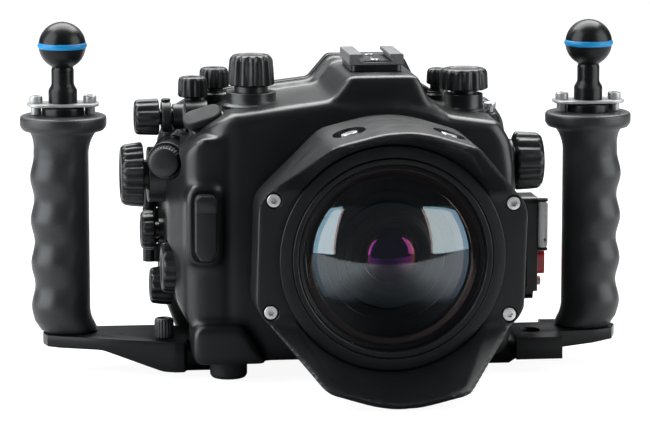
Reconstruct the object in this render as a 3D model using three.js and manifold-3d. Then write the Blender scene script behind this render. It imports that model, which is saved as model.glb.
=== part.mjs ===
// Underwater camera housing: a cast casing with a dome port, two handles on arms and its outside controls.
// Millimetres. X is right as seen from the front, Y runs away from the viewer and Z is up from the floor.
// The origin is under the middle of the whole object's box, on the surface that the feet stand on.
import * as THREE from 'three';
import { mergeVertices } from 'three/addons/utils/BufferGeometryUtils.js';
import Module from 'manifold-3d';

const wasm = await Module();
wasm.setup();

// Clearances that every pair of neighbours shares.
const seatGap = 0.3;
const runningGap = 0.4;
const overrun = 4;
const weld = 0.001;

// Facet counts.
const shaftSides = 8;
const smallSides = 12;
const ballSides = 14;
const gripSides = 16;
const portSides = 28;
const cornerSteps = 2;
const plainSteps = 1;

// The most of a side that one rounded corner may take up.
const cornerRoomShare = 0.48;

// Directions.
const up = new THREE.Vector3(0, 0, 1);
const left = new THREE.Vector3(-1, 0, 0);
const right = new THREE.Vector3(1, 0, 0);
const forward = new THREE.Vector3(0, -1, 0);
const backward = new THREE.Vector3(0, 1, 0);

// Casing. The outline shares are of its width and height, the plan shares of its width and depth.
const body = { left: -77, right: 98, bottom: 10, top: 163, front: -45, back: 38, wall: 5 };
const bodyOutlineShares = [
  [0.06, 0, 0.06], [0.97, 0, 0.06], [1, 0.2, 0.08], [1, 0.6, 0.08], [0.975, 0.77, 0.04], [0.94, 0.835, 0.04],
  [0.79, 0.86, 0.04], [0.725, 0.91, 0.03], [0.69, 1, 0.03], [0.48, 1, 0.03], [0.425, 0.92, 0.03],
  [0.12, 0.875, 0.06], [0.03, 0.81, 0.07], [0, 0.7, 0.1], [0, 0.2, 0.1],
];
const bodyPlanShares = [
  [0, 1, 0], [0, 0.36, 0.16], [0.08, 0, 0.2], [0.975, 0, 0.04], [1, 0.12, 0.08], [1, 1, 0],
];
const flange = { depth: 10, left: 12.5, right: 9, top: 3, bottom: 2 };
const sealGroove = { fromCavity: 2.3, width: 2.4, depth: 2.5, proud: 0.2 };
const cornerBlock = {
  fromLeft: -0.5, topWidth: 27, bottomWidth: 40, height: 22, proud: 6, round: 6, depth: 30,
};
const humpSlope = { depth: 5, drop: 3 };

// Cheek on the casing's left side. Its shares are of its own box, and some knobs sit in its recesses.
const cheek = { reach: 11.5, inside: 17, fromBottom: 12, belowFlash: 8.5, recess: 1.6 };
const recessedKnobs = ['focus_knob', 'zoom_knob', 'front_dial'];
const cheekFrontShares = [
  [1, 1, 0], [0.46, 1, 0.08], [0.14, 0.93, 0.08], [0, 0.83, 0.08], [0, 0.38, 0.1], [0.16, 0.17, 0.1],
  [0.5, 0, 0.06], [1, 0, 0],
];
const cheekPlanShares = [[1, 1, 0], [0, 1, 0], [0, 0.4, 0.25], [0.36, 0, 0.2], [1, 0, 0]];

// Port, measured from the casing's left and bottom, and forward from its front.
const port = { fromLeft: 101, fromBottom: 62.5, boreStep: 2, mountBeyond: 7, mountHeight: 7 };
const barrel = {
  radius: 54, length: 37.5, ledge: 9, step: 1, spigotWall: 3.5, spigotReach: 9, spigotGap: 0.3,
};
const dome = { edge: 2.2, edgeThick: 2, rise: 18, thick: 4, steps: 4 };
const ring = { overhang: 1, lip: 3.2, height: 5.2 };
const domeRadius = barrel.radius - barrel.ledge;
const barrelBore = domeRadius - barrel.step;
const portBore = barrelBore - port.boreStep;
const ringRadius = barrel.radius + ring.overhang;
const mountRadius = barrel.radius + port.mountBeyond;
const hood = {
  sideBeyond: 16, earHalfHeight: 36, petalHalfWidth: 34, cornerBeyond: 10.5, reachBeyond: 19.2,
  mouthBeyond: 11, back: 7.5, ears: 40, front: 83, earRound: 12, cornerRound: 10, rollDegrees: 1.7,
};
const hoodHalfWidth = ringRadius + hood.sideBeyond;
const hoodScrew = { fromSide: 8, y: 29.5, headRadius: 3.5, headHeight: 3, shank: 1.7, length: 14 };
const baffle = {
  fromTop: 4.5, wall: 2, thick: 9, firstRadius: 30.5, firstDrop: 3, secondRadius: 28, secondDrop: 1.5,
  thirdRadius: 20.5, thirdRise: 1, fourthRadius: 18, fourthDrop: 1,
};
const innerLens = { radius: 14.2, rim: 8, rise: 5, steps: 3, sunk: 2 };

// Rear cover, its hinge and what it carries.
const cover = { thick: 9, gap: 0.5 };
const hinge = { radius: 4, pin: 1.8, out: 4.6, fromBottom: 42, knuckle: 10, count: 5, web: 3.6 };
const rearWindow = { fromLeft: 44, fromBottom: 22, width: 84, height: 62, rim: 4, thick: 4, round: 6 };
const eyepiece = { fromLeft: 101, fromTop: 24, width: 34, height: 22, wall: 5, depth: 9, round: 4, glass: 3 };
const rearButtons = {
  fromRight: 26, fromBottom: 30, pitch: 20, count: 3, radius: 5, rise: 4, travel: 2, stem: 2,
};
const rearDial = {
  fromRight: 26, fromTop: 48, radius: 13, topRadius: 12.6, height: 6, lobes: 12, groove: 1, shaft: 3,
};

// Camera tray inside the casing.
const tray = {
  fromLeft: 40, width: 96, front: -16, back: 32, thick: 5, round: 8, screwRadius: 4, screwRise: 3,
};

// Latch on the right side.
const latch = {
  fromBottom: 21.7, height: 57.2, front: 5, back: 27, out: 20, leverThick: 5.6, leverFrom: 28.8,
  leverHeight: 25.4, leverLength: 38, lug: 1.4, pin: 1.4, lockFrom: 13.2, lockHeight: 13.2, lockFront: 5,
  lockWidth: 13, lockTravel: 2, lockRound: 2.8, lockProud: 4.6, lockSunk: 2.6, screwFrom: 8.6,
  screwRadius: 2.5, screwProud: 3.4, round: 4,
};
const strike = { inside: 3, outside: 9.4, height: 22, fromLeverFoot: 2 };

// Accessory shoe on the hump.
const shoe = {
  fromLeft: 101, front: -22, length: 40, width: 29.4, baseHeight: 3, floor: 1.6, slot: 18.6, mouth: 14.8,
  slotHeight: 2.2, lip: 1.9, baseSpread: 2,
};

// Feet.
const footPad = {
  radius: 10, rimRadius: 8.6, rim: 1.5, fromLeft: 20, fromRight: 36, fromFront: 15, fromBack: 22,
};

// Arms and handles. The handles stand at the same distance on both sides.
const handle = { x: 142.5, leftY: 7, rightY: -7, boltRadius: 3.6, boltHead: 6, boltHeadHeight: 1.6 };
const tongue = { front: -17, back: 4, bottom: 1 };
const leftArm = {
  top: 20, bottom: 3.4, endThick: 6.5, front: -20, back: 18, fromLeft: 6, tongueReach: 30, shoulder: 17.5,
  halfWidth: 12.4, bend: 18.5, root: 15, tongueRound: 14, wingFront: -36, wingClear: 1.5, wingRound: 8,
};
const rightArm = {
  top: 19.4, endThick: 5.4, front: -25, back: 11, halfWidth: 16, blockTop: 19.4, blockBottom: 7.4,
  blockFront: -40, blockBack: 3, blockWidth: 25.2, barRoot: 9.5, slotWidth: 11, slotLength: 14,
  slotFromWall: 11, slotY: -18, tongueReach: 34, root: 10,
};
const armThumb = {
  fromLeft: -14, y: -22, radius: 5.4, topRadius: 5.2, height: 11, lobes: 8, groove: 0.7, shaft: 2, depth: 9,
};
const grip = {
  length: 111.3, base: 13.4, baseRound: 1.2, baseHeight: 4, toeReach: 5, toeHeight: 13, waist: 15, lean: 1.4,
  bump: 1.7, flangeRadius: 23.35, flangeHeight: 9, flangeRound: 1.8, firstBump: 14, bumpPitch: 23.5, bumps: 4,
  flare: 13, flareShare: 0.8,
};
const ballMount = {
  lipRadius: 9.4, lipHeight: 2.4, socketRadius: 7.75, socketHeight: 12.4, stemRadius: 6.05, ballRadius: 12.7,
  ballRise: 35.2, chamfer: 1, steps: 3,
};
const ballRing = { radius: 11.9, thick: 1.6, sides: 6 };
const clampBar = {
  length: 38.7, width: 21, round: 8.4, thick: 1.5, screwSpread: 14.5, screwHead: 3.6, screwHeight: 4,
  spacer: 2.8,
};

// Gripped knobs. Standoff is from the roof for the top ones and from the casing's side for the others.
const topKnobs = {
  mode_knob: {
    fromLeft: 34.5, y: -12, standoff: 10, radius: 12.6, topRadius: 11.7, height: 16.4, lobes: 14, groove: 1,
    collar: 14.7, collarHeight: 2.4, neck: 9, shaft: 3,
  },
  record_knob: {
    fromLeft: 18, y: 27.5, standoff: 2.6, radius: 8.2, topRadius: 7.9, height: 11, lobes: 12, groove: 0.7,
    collar: 7.4, collarHeight: 1.2, neck: 5, shaft: 2.4,
  },
  drive_knob: {
    fromLeft: 5.2, y: 14, standoff: 14, radius: 8.2, topRadius: 7.9, height: 11, lobes: 12, groove: 0.7,
    collar: 6.5, collarHeight: 8.5, neck: 4.6, shaft: 2.4,
  },
  exposure_knob: {
    fromLeft: 152, y: 0, standoff: 10.6, radius: 13.2, topRadius: 12.8, height: 11.5, lobes: 14, groove: 1,
    collar: 10.4, collarHeight: 8.5, neck: 7, shaft: 3,
  },
  review_knob: {
    fromLeft: 142, y: 29.5, standoff: 5, radius: 6, topRadius: 5.7, height: 9, lobes: 10, groove: 0.6,
    collar: 6.2, collarHeight: 1.6, neck: 4, shaft: 2,
  },
};
const leftKnobs = {
  flash_knob: {
    fromBottom: 126.5, y: 8, standoff: 13.9, radius: 10, topRadius: 9.6, height: 13.2, lobes: 12, groove: 0.8,
    collar: 7, collarHeight: 6.4, neck: 4.4, shaft: 2.4, root: 12,
  },
  command_wheel: {
    fromBottom: 96, y: 2, standoff: 23.2, radius: 17.5, topRadius: 16.6, height: 12, lobes: 20, groove: 1,
    collar: 15, collarHeight: 20.6, neck: 8, shaft: 3, root: 12,
  },
  playback_knob: {
    fromBottom: 62.5, y: 20, standoff: 16, radius: 11, topRadius: 10.6, height: 7.4, lobes: 14, groove: 0.6,
    collar: 6.6, collarHeight: 13.6, neck: 4.6, shaft: 2.4, root: 12,
  },
  focus_knob: {
    fromBottom: 47, y: -11, standoff: 2.4, radius: 14, topRadius: 13.4, height: 12, lobes: 12, groove: 1.2,
    collar: 11, collarHeight: 1.4, neck: 7, shaft: 3, root: 12,
  },
  zoom_knob: {
    fromBottom: 32.7, y: 14, standoff: 6.6, radius: 11, topRadius: 10, height: 12.4, lobes: 10, groove: 1.1,
    collar: 8, collarHeight: 5, neck: 5, shaft: 2.6, root: 12,
  },
};
const rightKnob = {
  fromBottom: 101, y: -5, standoff: 4.4, radius: 16, topRadius: 15.4, height: 14.6, lobes: 14, groove: 1.2,
  collar: 12, collarHeight: 2.6, neck: 8, shaft: 3, root: 12,
};
const frontDial = {
  fromLeft: -12.2, y: -17.7, fromBottom: 106, turnDegrees: 12, radius: 8.7, topRadius: 8.3, height: 8,
  lobes: 16, groove: 0.5, collar: 10, collarHeight: 25, neck: 5, shaft: 2.4, standoff: 26,
};
const knobChamfer = 0.9;
const knobNeckGap = 0.5;
const shaftReach = 4;

// Levers and push buttons.
const powerLever = { standoff: 7.2, width: 5.6, collar: 8.6, tipRadius: 2.8, tipReach: 10.2 };
const portLever = {
  fromLeft: 6.2, fromBottom: 57.2, length: 35.4, width: 11.4, thick: 7, padLength: 9, padProud: 3,
  pivotFromTop: 6, shaft: 3, round: 5, boss: 3.4, bossDepth: 20, shaftLength: 9,
};
const shutterPad = {
  fromLeft: 8.6, y: -19, fromTop: 26.4, tiltShares: [-0.36, -0.5, 1], halfLength: 10.5, halfWidth: 6.6,
  thick: 4, travel: 1.6, stem: 3, bossInset: 1, bossDepth: 12, stemLength: 8, seatSpread: 1.4, seatDepth: 16,
};
const topButton = {
  fromRight: 7, y: 9, radius: 3.5, thick: 3, travel: 1.5, stem: 1.8, stemLength: 9, collar: 4.6,
  collarRise: 4.6,
};

// Materials.
const paint = (color, roughness, metalness) => (
  new THREE.MeshStandardMaterial({ color, roughness, metalness })
);
const materials = {
  casing: () => paint(0x1b1c1e, 0.55, 0.4),
  hood: () => paint(0x26272a, 0.6, 0.3),
  control: () => paint(0x17181a, 0.5, 0.2),
  grip: () => paint(0x202124, 0.8, 0),
  rubber: () => paint(0x0d0d0e, 0.9, 0),
  blueRubber: () => paint(0x1473c8, 0.5, 0),
  steel: () => paint(0xb9bbbd, 0.3, 1),
  red: () => paint(0xc8181c, 0.4, 0),
  glass: () => paint(0x9fb6c4, 0.05, 0),
};

// Turns a closed geometry into a solid that can be joined and cut.
function toSolid(geometry) {
  const bare = geometry.clone();
  bare.deleteAttribute('normal');
  bare.deleteAttribute('uv');
  const merged = mergeVertices(bare, weld);
  const corners = merged.index.array;
  const kept = [];
  for (let i = 0; i < corners.length; i += 3) {
    const [a, b, c] = corners.slice(i, i + 3);
    if (a !== b && b !== c && c !== a) {
      kept.push(a, b, c);
    }
  }
  const vertProperties = new Float32Array(merged.attributes.position.array);
  return new wasm.Manifold(new wasm.Mesh({ numProp: 3, vertProperties, triVerts: new Uint32Array(kept) }));
}

function toGeometry(solid) {
  const mesh = solid.getMesh();
  const geometry = new THREE.BufferGeometry();
  geometry.setAttribute('position', new THREE.BufferAttribute(mesh.vertProperties, 3));
  geometry.setIndex(new THREE.BufferAttribute(mesh.triVerts, 1));
  return geometry;
}

const join = (...geometries) => toGeometry(geometries.map(toSolid).reduce((all, next) => all.add(next)));
const cut = (geometry, ...tools) => toGeometry(tools.map(toSolid).reduce((rest, tool) => rest.subtract(tool),
  toSolid(geometry)));
const overlap = (a, b) => toGeometry(toSolid(a).intersect(toSolid(b)));

// A closed outline from corners [x, y, radius], each rounded as far as its sides allow.
function roundedOutline(corners, steps = cornerSteps) {
  const points = [];
  corners.forEach(([x, y, radius = 0], i) => {
    const here = new THREE.Vector2(x, y);
    const [bx, by] = corners.at(i - 1);
    const [ax, ay] = corners[(i + 1) % corners.length];
    const before = new THREE.Vector2(bx, by).sub(here);
    const after = new THREE.Vector2(ax, ay).sub(here);
    const halfAngle = before.angleTo(after) / 2;
    const room = cornerRoomShare * Math.min(before.length(), after.length());
    const reach = Math.min(radius / Math.tan(halfAngle), room);
    if (reach === 0) {
      points.push(here);
      return;
    }
    const start = here.clone().addScaledVector(before.normalize(), reach);
    const end = here.clone().addScaledVector(after.normalize(), reach);
    points.push(...new THREE.QuadraticBezierCurve(start, here, end).getPoints(steps));
  });
  return new THREE.Shape(points);
}

const rectangle = (x0, y0, x1, y1, radius = 0) => roundedOutline([
  [x0, y0, radius], [x1, y0, radius], [x1, y1, radius], [x0, y1, radius],
]);

// Extrusions along each axis. For X the shape is in Y and Z, for Y it is in X and Z.
function alongZ(shape, from, to) {
  return new THREE.ExtrudeGeometry(shape, { depth: to - from, bevelEnabled: false }).translate(0, 0, from);
}
const alongY = (shape, from, to) => alongZ(shape, -to, -from).rotateX(Math.PI / 2);
const zxyOrder = new THREE.Matrix4().set(0, 0, 1, 0, 1, 0, 0, 0, 0, 1, 0, 0, 0, 0, 0, 1);
const alongX = (shape, from, to) => alongZ(shape, from, to).applyMatrix4(zxyOrder);

// Round pieces about Z: a plain drum, and a turned profile of [radius, height] pairs.
function drum(radius, from, to, sides = smallSides) {
  return new THREE.CylinderGeometry(radius, radius, to - from, sides).rotateX(Math.PI / 2)
    .translate(0, 0, (from + to) / 2);
}
function turned(profile, sides) {
  const points = profile.map(([radius, height]) => new THREE.Vector2(radius, height));
  return new THREE.LatheGeometry(points, sides).rotateX(Math.PI / 2);
}
const turnedRing = (profile, sides) => turned([...profile, profile[0]], sides);

// A hole whose flats stay a running gap clear of a turning shaft.
const shaftHole = (radius, from, to) => drum((radius + runningGap) / Math.cos(Math.PI / shaftSides), from, to,
  shaftSides);

// A closed skin over rings of points; ringPoint gives each point from its level and its number in the ring.
function loft(levels, sides, ringPoint) {
  const positions = [];
  const faces = [];
  levels.forEach((level) => {
    for (let side = 0; side < sides; side += 1) {
      positions.push(...ringPoint(level, side));
    }
  });
  const next = (side) => (side + 1) % sides;
  for (let ringIndex = 0; ringIndex + 1 < levels.length; ringIndex += 1) {
    const low = ringIndex * sides;
    const high = low + sides;
    for (let side = 0; side < sides; side += 1) {
      faces.push(low + side, low + next(side), high + next(side));
      faces.push(low + side, high + next(side), high + side);
    }
  }
  const topRing = (levels.length - 1) * sides;
  const bottomCentre = positions.length / 3;
  positions.push(0, 0, levels[0].height, 0, 0, levels.at(-1).height);
  for (let side = 0; side < sides; side += 1) {
    faces.push(bottomCentre, next(side), side);
    faces.push(bottomCentre + 1, topRing + side, topRing + next(side));
  }
  const geometry = new THREE.BufferGeometry();
  geometry.setAttribute('position', new THREE.Float32BufferAttribute(positions, 3));
  geometry.setIndex(faces);
  return geometry;
}

const towards = (direction) => new THREE.Quaternion().setFromUnitVectors(up, direction.clone().normalize());
const placed = (geometry, at, direction = up) => geometry.clone().applyQuaternion(towards(direction))
  .translate(at.x, at.y, at.z);

// The whole housing; its pieces are added to this group.
const housing = new THREE.Group();

function addPiece(name, geometry, material, at = new THREE.Vector3(), direction = up, parent = housing) {
  const mesh = new THREE.Mesh(geometry, material());
  mesh.name = name;
  mesh.position.copy(at);
  mesh.quaternion.copy(towards(direction));
  parent.add(mesh);
}

// Casing outlines. A grown outline is the same shape over a larger box.
function grownBox({ left: l = 0, right: r = 0, top: t = 0, bottom: b = 0 }) {
  return { left: body.left - l, right: body.right + r, bottom: body.bottom - b, top: body.top + t };
}
function outlineIn(box, steps = cornerSteps) {
  const width = box.right - box.left;
  const height = box.top - box.bottom;
  return roundedOutline(bodyOutlineShares.map(([x, z, round]) => [
    box.left + x * width, box.bottom + z * height, round * height,
  ]), steps);
}
const evenly = (grow) => ({ left: grow, right: grow, top: grow, bottom: grow });
const flangeBox = (grow = 0) => grownBox({
  left: flange.left + grow, right: flange.right + grow, top: flange.top + grow, bottom: flange.bottom + grow,
});
function planOutline(inset, back) {
  const width = body.right - body.left - 2 * inset;
  const front = body.front + inset;
  const depth = back - front;
  return roundedOutline(bodyPlanShares.map(([x, y, round]) => [
    body.left + inset + x * width, front + y * depth, round * depth,
  ]));
}

// Height of the casing's roof over a place on X, from its rounded outline.
function roofAt(x, box = grownBox({})) {
  const points = outlineIn(box).getPoints();
  let roof = body.bottom;
  points.forEach((a, i) => {
    const b = points[(i + 1) % points.length];
    const share = (x - a.x) / (b.x - a.x);
    if (share >= 0 && share <= 1) {
      roof = Math.max(roof, a.y + share * (b.y - a.y));
    }
  });
  return roof;
}

const portCentre = new THREE.Vector3(body.left + port.fromLeft, body.front, body.bottom + port.fromBottom);

// A gripped knob standing on z = 0, with its shaft going down through the wall.
function knobGeometry(knob, shaftLength) {
  const sides = knob.lobes * 2;
  const levels = [
    { height: 0, radius: knob.radius },
    { height: knob.height - knobChamfer, radius: knob.topRadius },
    { height: knob.height, radius: knob.topRadius - knobChamfer },
  ];
  const head = loft(levels, sides, ({ height, radius }, side) => {
    const angle = (side / sides) * 2 * Math.PI;
    const ribbed = side % 2 === 0 ? radius - knob.groove : radius;
    return [ribbed * Math.cos(angle), ribbed * Math.sin(angle), height];
  });
  return join(head, drum(knob.shaft, -shaftLength, knob.height / 2, shaftSides));
}

// The fixed collar and neck that a knob stands on, from a root inside the wall, and the hole for its shaft.
function knobSeat(knob, root) {
  const collar = drum(knob.collar, -root, -knob.standoff + knob.collarHeight);
  const neck = drum(knob.neck, -root, -knobNeckGap);
  return join(collar, neck);
}

// Every knob with its place, its direction and the wall that it goes through.
function knobPlaces() {
  const places = [];
  Object.entries(topKnobs).forEach(([name, knob]) => {
    const x = body.left + knob.fromLeft;
    const overFlange = knob.y + knob.radius > body.back - flange.depth;
    const roof = roofAt(x, overFlange ? flangeBox() : grownBox({}));
    const at = new THREE.Vector3(x, knob.y, roof + knob.standoff);
    const depth = knob.standoff + 2 * body.wall + shaftReach;
    places.push({ name, knob, at, direction: up, root: knob.standoff + body.wall, depth });
  });
  Object.entries(leftKnobs).forEach(([name, knob]) => {
    const at = new THREE.Vector3(body.left - knob.standoff, knob.y, body.bottom + knob.fromBottom);
    const root = knob.standoff + knob.root;
    places.push({ name, knob, at, direction: left, root, depth: root });
  });
  const rightX = body.right + rightKnob.standoff;
  const rightAt = new THREE.Vector3(rightX, rightKnob.y, body.bottom + rightKnob.fromBottom);
  const rightRoot = rightKnob.standoff + rightKnob.root;
  places.push({
    name: 'control_wheel', knob: rightKnob, at: rightAt, direction: right, root: rightRoot, depth: rightRoot,
  });
  const turn = THREE.MathUtils.degToRad(frontDial.turnDegrees);
  const dialX = body.left + frontDial.fromLeft;
  const dialAt = new THREE.Vector3(dialX, frontDial.y, body.bottom + frontDial.fromBottom);
  places.push({
    name: 'front_dial', knob: frontDial, at: dialAt, root: frontDial.standoff, depth: frontDial.standoff,
    direction: new THREE.Vector3(-Math.sin(turn), -Math.cos(turn), 0),
  });
  return places;
}

const knobs = knobPlaces();

// The casing's solid outside: the two outlines crossed, the rear flange and everything cast onto it.
function casingOutside() {
  const slopeTop = body.top + overrun;
  const block = overlap(
    alongY(outlineIn(grownBox({})), body.front, body.back),
    alongZ(planOutline(0, body.back), body.bottom - overrun, slopeTop),
  );
  const slope = new THREE.Shape([
    [body.front - overrun, body.top - humpSlope.drop], [body.front, body.top - humpSlope.drop],
    [body.front + humpSlope.depth, body.top], [body.front + humpSlope.depth, slopeTop],
    [body.front - overrun, slopeTop],
  ].map(([y, z]) => new THREE.Vector2(y, z)));
  const sloped = cut(block, alongX(slope, body.left, body.right));
  const rim = alongY(outlineIn(flangeBox()), body.back - flange.depth, body.back);
  const mount = overlap(
    placed(drum(mountRadius, -body.wall, port.mountHeight, portSides), portCentre, forward),
    alongY(outlineIn(grownBox({})), body.front - 2 * port.mountHeight, body.back),
  );
  const seats = knobs.map(({ knob, at, direction, root }) => placed(knobSeat(knob, root), at, direction));
  const bosses = [leverBoss(), padBoss(), buttonCollar()];
  const blocks = [cornerBlockGeometry(), cheekGeometry()];
  return join(sloped, rim, mount, ...blocks, ...bosses, ...hingeKnuckles(0), ...seats);
}

// The cheek ends a little below the flash knob, and has a recess round each knob that stands behind its face.
function cheekGeometry() {
  const x = body.left - cheek.reach;
  const width = cheek.reach + cheek.inside;
  const low = body.bottom + cheek.fromBottom;
  const height = leftKnobs.flash_knob.fromBottom - cheek.belowFlash - cheek.fromBottom;
  const back = body.back - flange.depth;
  const depth = back - body.front;
  const front = roundedOutline(cheekFrontShares.map(([across, rise, round]) => [
    x + across * width, low + rise * height, round * height,
  ]));
  const plan = roundedOutline(cheekPlanShares.map(([across, deep, round]) => [
    x + across * width, body.front + deep * depth, round * depth,
  ]));
  const whole = overlap(alongY(front, body.front, back + overrun), alongZ(plan, body.bottom, body.top));
  const sunk = knobs.filter(({ name }) => recessedKnobs.includes(name));
  const recesses = sunk.map(({ knob, at, direction }) => (
    placed(drum(knob.radius + cheek.recess, -knobNeckGap, knob.height + cheek.reach), at, direction)
  ));
  return cut(whole, ...recesses);
}

function cornerBlockGeometry() {
  const x = body.left + cornerBlock.fromLeft;
  const top = body.bottom + cornerBlock.height;
  const outline = roundedOutline([
    [x, body.bottom, cornerBlock.round], [x + cornerBlock.bottomWidth, body.bottom],
    [x + cornerBlock.topWidth, top, cornerBlock.round * 2], [x, top, cornerBlock.round],
  ]);
  const front = body.front - cornerBlock.proud;
  return alongY(outline, front, front + cornerBlock.depth);
}

// The casing: outside, less its cavity, the port's bore, the seal's groove and a hole for each shaft.
function casingGeometry() {
  const wall = body.wall;
  const seatShape = ovalShape(-shutterPad.seatSpread);
  const padSeat = placed(alongZ(seatShape, 0, shutterPad.seatDepth), padAt, padDirection);
  const cavity = overlap(
    alongY(outlineIn(grownBox(evenly(-wall)), plainSteps), body.front + wall, body.back + overrun),
    alongZ(planOutline(wall, body.back + overrun), body.bottom, body.top),
  );
  const bore = placed(drum(portBore + barrel.spigotWall, -2 * wall, port.mountHeight + overrun, portSides),
    portCentre, forward);
  const shafts = knobs.map(({ knob, at, direction, depth }) => {
    const hole = shaftHole(knob.shaft, -depth, overrun);
    return placed(hole, at, direction);
  });
  const holes = [leverShaftHole(), padSeat, padHole(), buttonHole(), hingeBore()];
  return cut(casingOutside(), cavity, bore, sealRing(0, overrun), ...holes, ...shafts);
}

// The ring that the main seal fills, shrunk by a clearance, from its depth to a height over the face.
function sealRing(clearance, height) {
  const inner = -body.wall + sealGroove.fromCavity + clearance;
  const outer = inner + sealGroove.width - 2 * clearance;
  const shape = outlineIn(grownBox(evenly(outer)), plainSteps);
  shape.holes.push(outlineIn(grownBox(evenly(inner)), plainSteps));
  return alongY(shape, body.back - sealGroove.depth + clearance, body.back + height);
}

// Port: everything is turned or extruded about Z, which is then faced forward.
function barrelGeometry() {
  const spigotOut = portBore + barrel.spigotWall - barrel.spigotGap;
  const foot = port.mountHeight + seatGap;
  const domeSeat = barrel.length - dome.edgeThick - seatGap;
  const seatRadius = domeRadius + dome.edge + seatGap;
  return turnedRing([
    [portBore, foot - barrel.spigotReach], [spigotOut, foot - barrel.spigotReach], [spigotOut, foot],
    [barrel.radius, foot], [barrel.radius, barrel.length], [seatRadius, barrel.length], [seatRadius, domeSeat],
    [barrelBore, domeSeat], [barrelBore, foot + barrel.spigotReach], [portBore, foot + barrel.spigotReach],
  ], portSides);
}

function domeGeometry() {
  const foot = barrel.length - dome.edgeThick;
  const sphere = (domeRadius ** 2 + dome.rise ** 2) / (2 * dome.rise);
  const centre = barrel.length + dome.rise - sphere;
  const inner = sphere - dome.thick;
  const innerEdge = Math.acos((foot - centre) / inner);
  const outerEdge = Math.acos((barrel.length - centre) / sphere);
  const arc = (radius, from, to) => Array.from({ length: dome.steps + 1 }, (_, i) => {
    const angle = from + (to - from) * (i / dome.steps);
    return [radius * Math.sin(angle), centre + radius * Math.cos(angle)];
  });
  const rim = domeRadius + dome.edge;
  return turned([...arc(inner, 0, innerEdge), [rim, foot], [rim, barrel.length], ...arc(sphere, outerEdge, 0)],
    portSides);
}

function glassRingGeometry() {
  const foot = barrel.length + seatGap;
  const bevel = ring.lip / 2;
  return turnedRing([
    [domeRadius - bevel / 2, foot + bevel], [domeRadius + dome.edge / 2, foot], [ringRadius, foot],
    [ringRadius, foot + ring.height - bevel], [ringRadius - bevel, foot + ring.height],
    [ringRadius - ring.lip, foot + ring.height], [domeRadius + bevel, foot + 2 * bevel],
  ], portSides);
}

function baffleGeometry() {
  const out = barrelBore - seatGap;
  const { wall } = baffle;
  const rim = barrel.length - baffle.fromTop;
  const foot = rim - baffle.thick;
  const first = rim - baffle.firstDrop;
  const third = rim + baffle.thirdRise;
  const fourth = rim - baffle.fourthDrop;
  const lensBore = innerLens.radius + seatGap;
  return turnedRing([
    [lensBore, foot], [baffle.firstRadius, foot], [portBore - seatGap, first - wall], [out, first - wall],
    [out, rim], [out - wall, rim], [baffle.firstRadius, first], [baffle.secondRadius, first],
    [baffle.secondRadius, rim - baffle.secondDrop], [baffle.thirdRadius, third], [baffle.fourthRadius, third],
    [baffle.fourthRadius, fourth], [lensBore, fourth],
  ], portSides);
}

// The lens front stands in the baffle, its foot a little over the baffle's.
function lensGeometry() {
  const { radius, rim, rise, steps, sunk } = innerLens;
  const foot = barrel.length - baffle.fromTop - baffle.thick + sunk;
  const arc = Array.from({ length: steps + 1 }, (_, i) => {
    const angle = (Math.PI / 2) * (i / steps);
    return [radius * Math.cos(angle), foot + rim + rise * Math.sin(angle)];
  });
  return turned([[0, foot], [radius, foot], ...arc], smallSides * 2);
}

function hoodGeometry() {
  const { earHalfHeight: e, petalHalfWidth: p } = hood;
  const w = hoodHalfWidth;
  const c = ringRadius + hood.cornerBeyond;
  const r = ringRadius + hood.reachBeyond;
  const mouthRadius = ringRadius + hood.mouthBeyond;
  const outline = roundedOutline([
    [w, -e, hood.earRound], [w, e, hood.earRound], [p, c, hood.cornerRound], [0, r, r],
    [-p, c, hood.cornerRound], [-w, e, hood.earRound], [-w, -e, hood.earRound], [-p, -c, hood.cornerRound],
    [0, -r, r], [p, -c, hood.cornerRound],
  ]);
  const blank = alongZ(outline, hood.back, hood.front);
  const over = hood.front + overrun;
  const notch = new THREE.Shape([[-e, hood.ears], [e, hood.ears], [c, over], [-c, over]]
    .map(([y, z]) => new THREE.Vector2(y, z)));
  const mouthSeat = ringRadius + seatGap;
  const ringFoot = barrel.length - seatGap;
  const mouth = turned([
    [0, hood.back - overrun], [barrel.radius + seatGap, hood.back - overrun],
    [barrel.radius + seatGap, ringFoot],
    [mouthSeat, ringFoot], [mouthSeat, barrel.length + ring.height], [mouthRadius, hood.front],
    [mouthRadius, over], [0, over],
  ], portSides);
  const screwHoles = screwPlaces().map(([x, y]) => join(
    drum(hoodScrew.headRadius + runningGap, hood.ears - hoodScrew.headHeight, over, shaftSides),
    drum(hoodScrew.shank + runningGap, hood.ears - hoodScrew.length - runningGap, over, shaftSides),
  ).translate(x, y, 0));
  return cut(blank, alongX(notch, -2 * w, 2 * w), mouth, ...screwHoles);
}

const screwPlaces = () => [[1, 1], [-1, 1], [-1, -1], [1, -1]].map(([x, y]) => [
  x * (hoodHalfWidth - hoodScrew.fromSide), y * hoodScrew.y,
]);

function hoodScrewGeometry() {
  const top = hood.ears;
  const underside = top - hoodScrew.headHeight + seatGap;
  return turned([
    [0, top - hoodScrew.length], [hoodScrew.shank, top - hoodScrew.length], [hoodScrew.shank, underside],
    [hoodScrew.headRadius, underside], [hoodScrew.headRadius, top], [0, top],
  ], shaftSides);
}

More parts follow.
